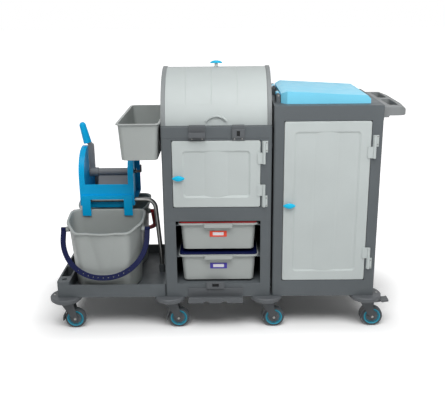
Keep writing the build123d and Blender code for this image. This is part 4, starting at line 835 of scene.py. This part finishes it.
# %% The outline of a bucket
def soft_loop(corners, soft, front_steps=30, corner_steps=6, edge_share=0.45):
    """A polygon with softened corners; its first edge gets extra points for the spout."""
    loop = []
    count = len(corners)
    for i, corner in enumerate(corners):
        before, after = corners[i - 1], corners[(i + 1) % count]
        reach = [min(soft, edge_share * (other - corner).length) for other in (before, after)]
        a = corner + reach[0] * (before - corner).normalized()
        b = corner + reach[1] * (after - corner).normalized()
        for k in range(corner_steps + 1):
            t = k / corner_steps
            loop.append((1 - t) ** 2 * a + 2 * t * (1 - t) * corner + t * t * b)
        if i == 0:
            start = after + min(soft, edge_share * (after - corner).length) * (corner - after).normalized()
            loop += [b.lerp(start, k / front_steps) for k in range(1, front_steps)]
    return loop


floor_z, rim_front, rim_back = 186.0, 487.0, 533.0
bucket_x, bucket_depth, bucket_width, nose_width = tray_left + 223.5, 248.0, 376.0, 266.0
flank_depth, back_trim, corner_soft = 110, 22, 26.0


def bucket_loop(start, inset):
    """The bucket's plan at an inset from its rim, in (x, y) millimetres."""
    half, nose = bucket_width / 2 - inset, nose_width / 2 - inset * nose_width / bucket_width
    y0, y1 = start + inset, start + bucket_depth - inset
    corners = [(-nose, y0), (nose, y0), (half, y0 + flank_depth), (half, y1 - back_trim),
               (half - back_trim, y1), (back_trim - half, y1), (-half, y1 - back_trim),
               (-half, y0 + flank_depth)]
    return soft_loop([Vector(c) for c in corners], corner_soft)


print("points of the plan", len(bucket_loop(0.0, 0.0)))

# %% [markdown]
# The spout is half a cone that widens upwards. A point of the front wall asks how far the cone stands in
# front of it at its own height, and moves out by that much.

# %% The spout
spout_height, spout_back = 235.0, 30.0
foot_half, foot_deep, half_gain, deep_gain = 12, 5, 63, 29


def spout_push(start, x, y, z, wall):
    """How far the spout's cone stands in front of a point of the front wall."""
    share = (z - (rim_front - spout_height)) / spout_height
    half_width, half_depth = foot_half + half_gain * share - wall, foot_deep + deep_gain * share - wall
    if half_width <= abs(x) or half_depth <= 0:
        return 0.0
    cone = start + spout_back - half_depth * math.sqrt(1 - (x / half_width) ** 2)
    return max(y - cone, 0.0)


print("at the rim the spout passes the plan by", round(spout_push(0.0, 0.0, 0.0, rim_front, 0.0), 1), "mm")

# %% [markdown]
# The rim is not level: its height depends on how far back a point lies. So a ring is given as a share of
# the height between the floor and the rim, and each of its points finds its own height and its own inset.

# %% A ring of a bucket
rim_reach, wall_taper, front_zone, push_share = 8.0, 22.0, 60, 0.8


def bucket_ring(start, share, wall, out=0.0, drop=0.0):
    """A ring at a share of the height, wall thickness inwards, out for the rim, drop below the rim's top."""
    loops = {}
    ring = []
    for i in range(len(bucket_loop(start, 0.0))):
        z = floor_z + share * (rim_front - floor_z)
        for _ in range(2):
            inset = rim_reach + wall_taper * (1 - (z - floor_z) / (rim_back - floor_z)) + wall - out
            key = round(inset, 3)
            if key not in loops:
                loops[key] = bucket_loop(start, key)
            x, y = loops[key][i]
            top = rim_front + (rim_back - rim_front) * (y - start) / bucket_depth - drop
            z = floor_z + share * (top - floor_z)
        front = y < start + front_zone
        push = spout_push(start, x, y + out * front, z, wall) if front else 0.0
        ring.append(Vector((bucket_x + x, y - push_share * push, z)))
    return ring


print("points of a bucket's ring", len(bucket_ring(0.0, 1.0, 0.0)))

# %% [markdown]
# From the floor's outer edge the rings climb the outer skin, go round the rolled rim, and come down the
# inner skin to the floor inside. The bail's pins stand on the flanks, on their bosses. The bucket is one
# closed skin, so it has a real wall.

# %% Skin both buckets
rim_roll = ((0.4, 7.0), (6.6, 7.0), (7.8, 5.6), (8.0, 3.5), (7.4, 1.2), (5.8, 0.1))
pin_profile = ((13, 174.5), (13, 188.6), (12, 189.6), (5, 189.6), (5, 206.6), (4, 207.6))
pin_height, under_rim, tub_wall, bucket_sharp = 470.0, 7.0, 3.0, 50.0


def make_bucket(name, start):
    """One bucket: outer skin, rolled rim, inner skin and floor, and the two pins of its bail."""
    rings = [bucket_ring(start, 0.0, 5.0), bucket_ring(start, 0.006, 1.4)]
    rings += [bucket_ring(start, share, 0.0, drop=under_rim) for share in (0.02, 0.12, 0.22)]
    rings += [bucket_ring(start, 0.3 + 0.07 * k, 0.0, drop=under_rim) for k in range(10)]
    rings += [bucket_ring(start, 1.0, 0.0, out, drop) for out, drop in rim_roll]
    rings += [bucket_ring(start, 1.0, 1.6), bucket_ring(start, 1.0, 2.7, drop=0.8)]
    rings += [bucket_ring(start, 0.99 - 0.07 * k, tub_wall) for k in range(11)]
    rings += [bucket_ring(start, share, tub_wall) for share in (0.16, 0.03)]
    rings += [bucket_ring(start, 0.014, 4.6), bucket_ring(start, 0.01, 8.0)]
    shape = bmesh.new()
    stack(shape, [[p * mm for p in ring] for ring in rings])
    pivot = Vector((bucket_x, start + bucket_depth / 2, pin_height))
    for side in (-1, 1):
        pin = [circle(radius, along) for radius, along in pin_profile]
        stack(shape, placed(pin, pivot * mm, (0, 1, 0), (side, 0, 0)))
    piece = finished(f"{name}_moulding", shape, finishes["tub_grey"], bucket_sharp)
    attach(piece, "trolley")
    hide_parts(name)
    return len(piece.data.polygons)


for name, start in (("bucket_front", -262.0), ("bucket_rear", 14.0)):
    print(name, make_bucket(name, start), "faces")

# %% [markdown]
# ## Drawer labels
# Each drawer has a coloured label holder on its front: a red one above and a violet one below, with a blank
# card. The drawer's wall leans by four degrees, so the holder is built on a plane that leans with it. Its
# rings are rounded rectangles that go up the outside, over the frame and down into the window.

# %% Parts of a label
def rounded_rectangle(width, height, radius, along, steps=5):
    """A ring of a rounded rectangle."""
    ring = []
    for turn, (sx, sy) in enumerate(((1, 1), (-1, 1), (-1, -1), (1, -1))):
        for k in range(steps + 1):
            a = math.pi / 2 * (turn + k / steps)
            ring.append(Vector((sx * (width / 2 - radius) + radius * math.cos(a),
                                sy * (height / 2 - radius) + radius * math.sin(a), along)))
    return ring


def paper(name, colour):
    """A blank card: fibres in the colour and a soft, uneven surface."""
    material, tree, shader, place = start_material(name)
    fibre = noise(tree, place, 420.0, 6.0)
    tree.links.new(ramp(tree, fibre, tint(colour, 0.94), tint(colour, 1.02)), shader.inputs["Base Color"])
    tree.links.new(spread(tree, fibre, 0.6, 0.8), shader.inputs["Roughness"])
    bumped(tree, shader, fibre, 0.1, 0.2 * mm)
    return material


frame_rings = [rounded_rectangle(*ring) for ring in (
    (80, 30, 2.5, -0.6), (80, 30, 2.5, 1.0), (79, 29, 2.2, 1.6), (52, 17, 1.6, 1.6), (51, 16, 1.2, 1.1),
    (51, 16, 1.2, 0.2))]
card_rings = [rounded_rectangle(*ring) for ring in (
    (52, 17, 1.0, -0.2), (52, 17, 1.0, 0.5), (51, 16, 0.8, 0.62))]
print("label rings", len(frame_rings), "and", len(card_rings))

# %% [markdown]
# The frame of the holder stays open behind the card, and the card closes its window. Both ride on the
# drawer.

# %% Labels on the drawers
card_white = paper("blank_card", linear(238, 236, 240))
wall_lean, wall_height = 9.0, 132.0
lean = math.atan2(wall_lean, wall_height)
label_out = Vector((0, -math.cos(lean), -math.sin(lean)))
label_x, wall_foot = mid_left + 251.0, -246.0
label_looks = {"upper": ("label_red_plastic", linear(232, 78, 56), 405.0, 76.0),
               "lower": ("label_violet_plastic", linear(72, 62, 158), 249.0, 72.0)}
for level, (look, colour, tub_floor, rise) in label_looks.items():
    origin = Vector((label_x, wall_foot - wall_lean * rise / wall_height, tub_floor + rise)) * mm
    for kind, rings, material in (("label_frame", frame_rings, moulded(look, colour, rough=(0.3, 0.42))),
                                  ("label_card", card_rings, card_white)):
        shape = bmesh.new()
        stack(shape, placed(rings, origin, (1, 0, 0), label_out), True, kind == "label_card")
        piece = finished(f"{kind}_{level}", shape, material)
        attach(piece, f"drawer_{level}")
print("labels", list(label_looks))

# %% [markdown]
# ## Painted shade in the slots
# The clip on the band and the one over the ledge have a blind slot. A black pad on its floor is painted
# shade: it makes the slot read dark from the front. A pad is a rounded rectangle with a small chamfer.

# %% Black pads that paint the shade in the clips
# The near black of the pads is painted shade in the slots.
slot_shade_black = rubber("slot_painted_shade", linear(24, 26, 28))
slot_floor, pad_chamfer = -273.0, 0.8
pads = (("band", 345.0, 959.0, 13.6, 23.6), ("ledge", 236.0, 232.0, 29.6, 17.6))
for name, x, z, width, height in pads:
    rings = [rounded_rectangle(width, height, 1.0, -0.3), rounded_rectangle(width, height, 1.0, 0.6),
             rounded_rectangle(width - pad_chamfer, height - pad_chamfer, 0.8, 1.0)]
    shape = bmesh.new()
    stack(shape, placed(rings, Vector((mid_left + x, slot_floor, z)) * mm, (1, 0, 0), to_front))
    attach(finished(f"slot_pad_{name}", shape, slot_shade_black), "trolley")
print("slot pads", len(pads))

# %% [markdown]
# ## Clear away the prototypes
# The bar, the nut and the screw were only there to be copied, so they leave the scene.

# %% Remove what was only there to be copied
for part in (bar, nut, screw):
    bpy.data.objects.remove(part)

# %% [markdown]
# ## What the camera sees
# The picture is a catalogue shot on white. More light would bleach the pale doors before the floor turns
# white, so the white comes from the Light Path node instead: it tells what is looked at, by the camera or
# in a reflection, from the light that falls on things.

# %% Ask what a ray is for
white = (1.0, 1.0, 1.0, 1.0)


def seen_directly(tree):
    """1 for what the camera sees, also in metal or through glass; 0 for the light that falls on things."""
    ray = tree.nodes.new("ShaderNodeLightPath")
    seen = ray.outputs["Is Camera Ray"]
    for kind in ("Is Glossy Ray", "Is Transmission Ray"):
        either = tree.nodes.new("ShaderNodeMath")
        either.operation = "MAXIMUM"
        link(tree, (seen, either.inputs[0]), (ray.outputs[kind], either.inputs[1]))
        seen = either.outputs["Value"]
    return seen


print("helper ready: seen_directly")

# %% [markdown]
# ## The floor
# The floor is pale and keeps the trolley's shadow. To the camera it also glows a little, so that it ends up
# white further out. There is no glow inside a rectangle under the trolley, and it fades in outside, so the
# shadow stays dark between the wheels and has no hard end.

# %% Floor
def outside(tree, place, half):
    """How far a point of the floor lies outside a rectangle round the origin, given by half its sides."""
    value = place
    steps = (("ABSOLUTE", None), ("SUBTRACT", half), ("MAXIMUM", (0, 0, 0)), ("LENGTH", None))
    for operation, other in steps:
        step = tree.nodes.new("ShaderNodeVectorMath")
        step.operation = operation
        tree.links.new(value, step.inputs[0])
        if other:
            step.inputs[1].default_value = other
        value = step.outputs["Value" if operation == "LENGTH" else "Vector"]
    return value


floor_reach, pale_low, pale_high = 30.0, 0.92, 0.94
footprint, full_glow, glow_width = (0.74, 0.2, 0.0), 0.66, 0.4
corners = [(-floor_reach, -floor_reach, 0), (floor_reach, -floor_reach, 0), (floor_reach, floor_reach, 0),
           (-floor_reach, floor_reach, 0)]
floor_mesh = bpy.data.meshes.new("studio_floor")
floor_mesh.from_pydata(corners, [], [(0, 1, 2, 3)])
floor = bpy.data.objects.new("studio_floor", floor_mesh)
bpy.context.scene.collection.objects.link(floor)
floor_material, tree, shader, place = start_material("studio_floor_white")
pale = ramp(tree, noise(tree, place, 0.6), (pale_low,) * 3 + (1,), (pale_high,) * 3 + (1,))
glow = spread(tree, outside(tree, place, footprint), 0.0, full_glow, 0.0, glow_width)
fade = tree.nodes.new("ShaderNodeMath")
fade.operation = "MULTIPLY"
link(tree, (pale, shader.inputs["Base Color"]), (seen_directly(tree), fade.inputs[0]),
     (glow, fade.inputs[1]), (fade.outputs["Value"], shader.inputs["Emission Strength"]))
shader.inputs["Emission Color"].default_value = white
shader.inputs["Roughness"].default_value = 0.9
shader.inputs["Specular IOR Level"].default_value = 0.1
floor_mesh.materials.append(floor_material)
floor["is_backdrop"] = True
print("floor", 2 * floor_reach, "m wide")

# %% [markdown]
# ## World and lamps
# The world is white to the camera and in reflections, but lights the trolley at a plain level. A long soft
# box in front and above models the fronts, a weak one at the right fills the side, and a low one behind
# lifts the back. A broad sun stands for a bright ceiling and gives the soft shadow on the floor.

# %% World and lamps
world = bpy.data.worlds.new("studio")
bpy.context.scene.world = world
world.use_nodes = True
tree = world.node_tree
sky = tree.nodes["Background"]
sky.inputs["Color"].default_value = white
sky_light = 0.20
link(tree, (spread(tree, seen_directly(tree), sky_light, 1.0, 0.0, 1.0), sky.inputs["Strength"]))


def lamp(name, where, aim, length, width, power):
    """A soft box that looks at a point."""
    data = bpy.data.lights.new(name, "AREA")
    data.shape = "RECTANGLE"
    data.size = length
    data.size_y = width
    data.energy = power
    made = bpy.data.objects.new(name, data)
    bpy.context.scene.collection.objects.link(made)
    made.location = where
    made.rotation_euler = (Vector(aim) - Vector(where)).to_track_quat("-Z", "Y").to_euler()
    print(name, power, "W")


lamp("key_light", where=(0.5, -1.6, 2.2), aim=(0.3, -0.2, 1.0), length=2.2, width=0.8, power=28.0)
lamp("fill_light", where=(2.6, -1.6, 1.7), aim=(0.2, 0.0, 0.8), length=1.6, width=1.6, power=5.0)
lamp("back_light", where=(0.3, 3.2, 0.9), aim=(0.0, 0.0, 0.6), length=2.6, width=1.2, power=12.0)
ceiling_data = bpy.data.lights.new("ceiling_light", "SUN")
ceiling_data.energy = 1.15
ceiling_data.angle = math.radians(30.0)
ceiling = bpy.data.objects.new("ceiling_light", ceiling_data)
bpy.context.scene.collection.objects.link(ceiling)
ceiling.rotation_euler = (math.radians(24.0), math.radians(-6.0), 0.0)
bpy.context.scene.view_settings.view_transform = "Standard"

# %% [markdown]
# ## The camera
# The camera stands where the photograph was taken: 3.2 m in front, 1.54 m up, and looking 17 degrees down.
# It is turned to the left by a hair and rolled by half a degree. The three directions of its view are
# worked out first, and they are the columns of its matrix.

# %% Camera
yaw, pitch, roll = math.radians(0.18), math.radians(17.12), math.radians(-0.53)
camera_place, camera_lens, camera_sensor = (0.0121, -3.1587, 1.5384), 53.6, 36.0
ahead = Vector((-math.sin(yaw) * math.cos(pitch), math.cos(yaw) * math.cos(pitch), -math.sin(pitch)))
across = Vector((math.cos(yaw), math.sin(yaw), 0.0))
upward = across.cross(ahead)
turned_across = math.cos(roll) * across + math.sin(roll) * upward
turned_upward = math.cos(roll) * upward - math.sin(roll) * across
camera_data = bpy.data.cameras.new("catalogue_camera")
camera = bpy.data.objects.new("catalogue_camera", camera_data)
bpy.context.scene.collection.objects.link(camera)
facing = Matrix((turned_across, turned_upward, -ahead)).transposed()
camera.matrix_world = Matrix.Translation(camera_place) @ facing.to_4x4()
camera_data.sensor_fit = "HORIZONTAL"
camera_data.sensor_width = camera_sensor
camera_data.lens = camera_lens
bpy.context.scene.camera = camera
print("camera", [round(v, 3) for v in camera.location])

# %% Sizes and finish
low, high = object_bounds()
print("visual box", [round(v, 3) for v in low], [round(v, 3) for v in high])
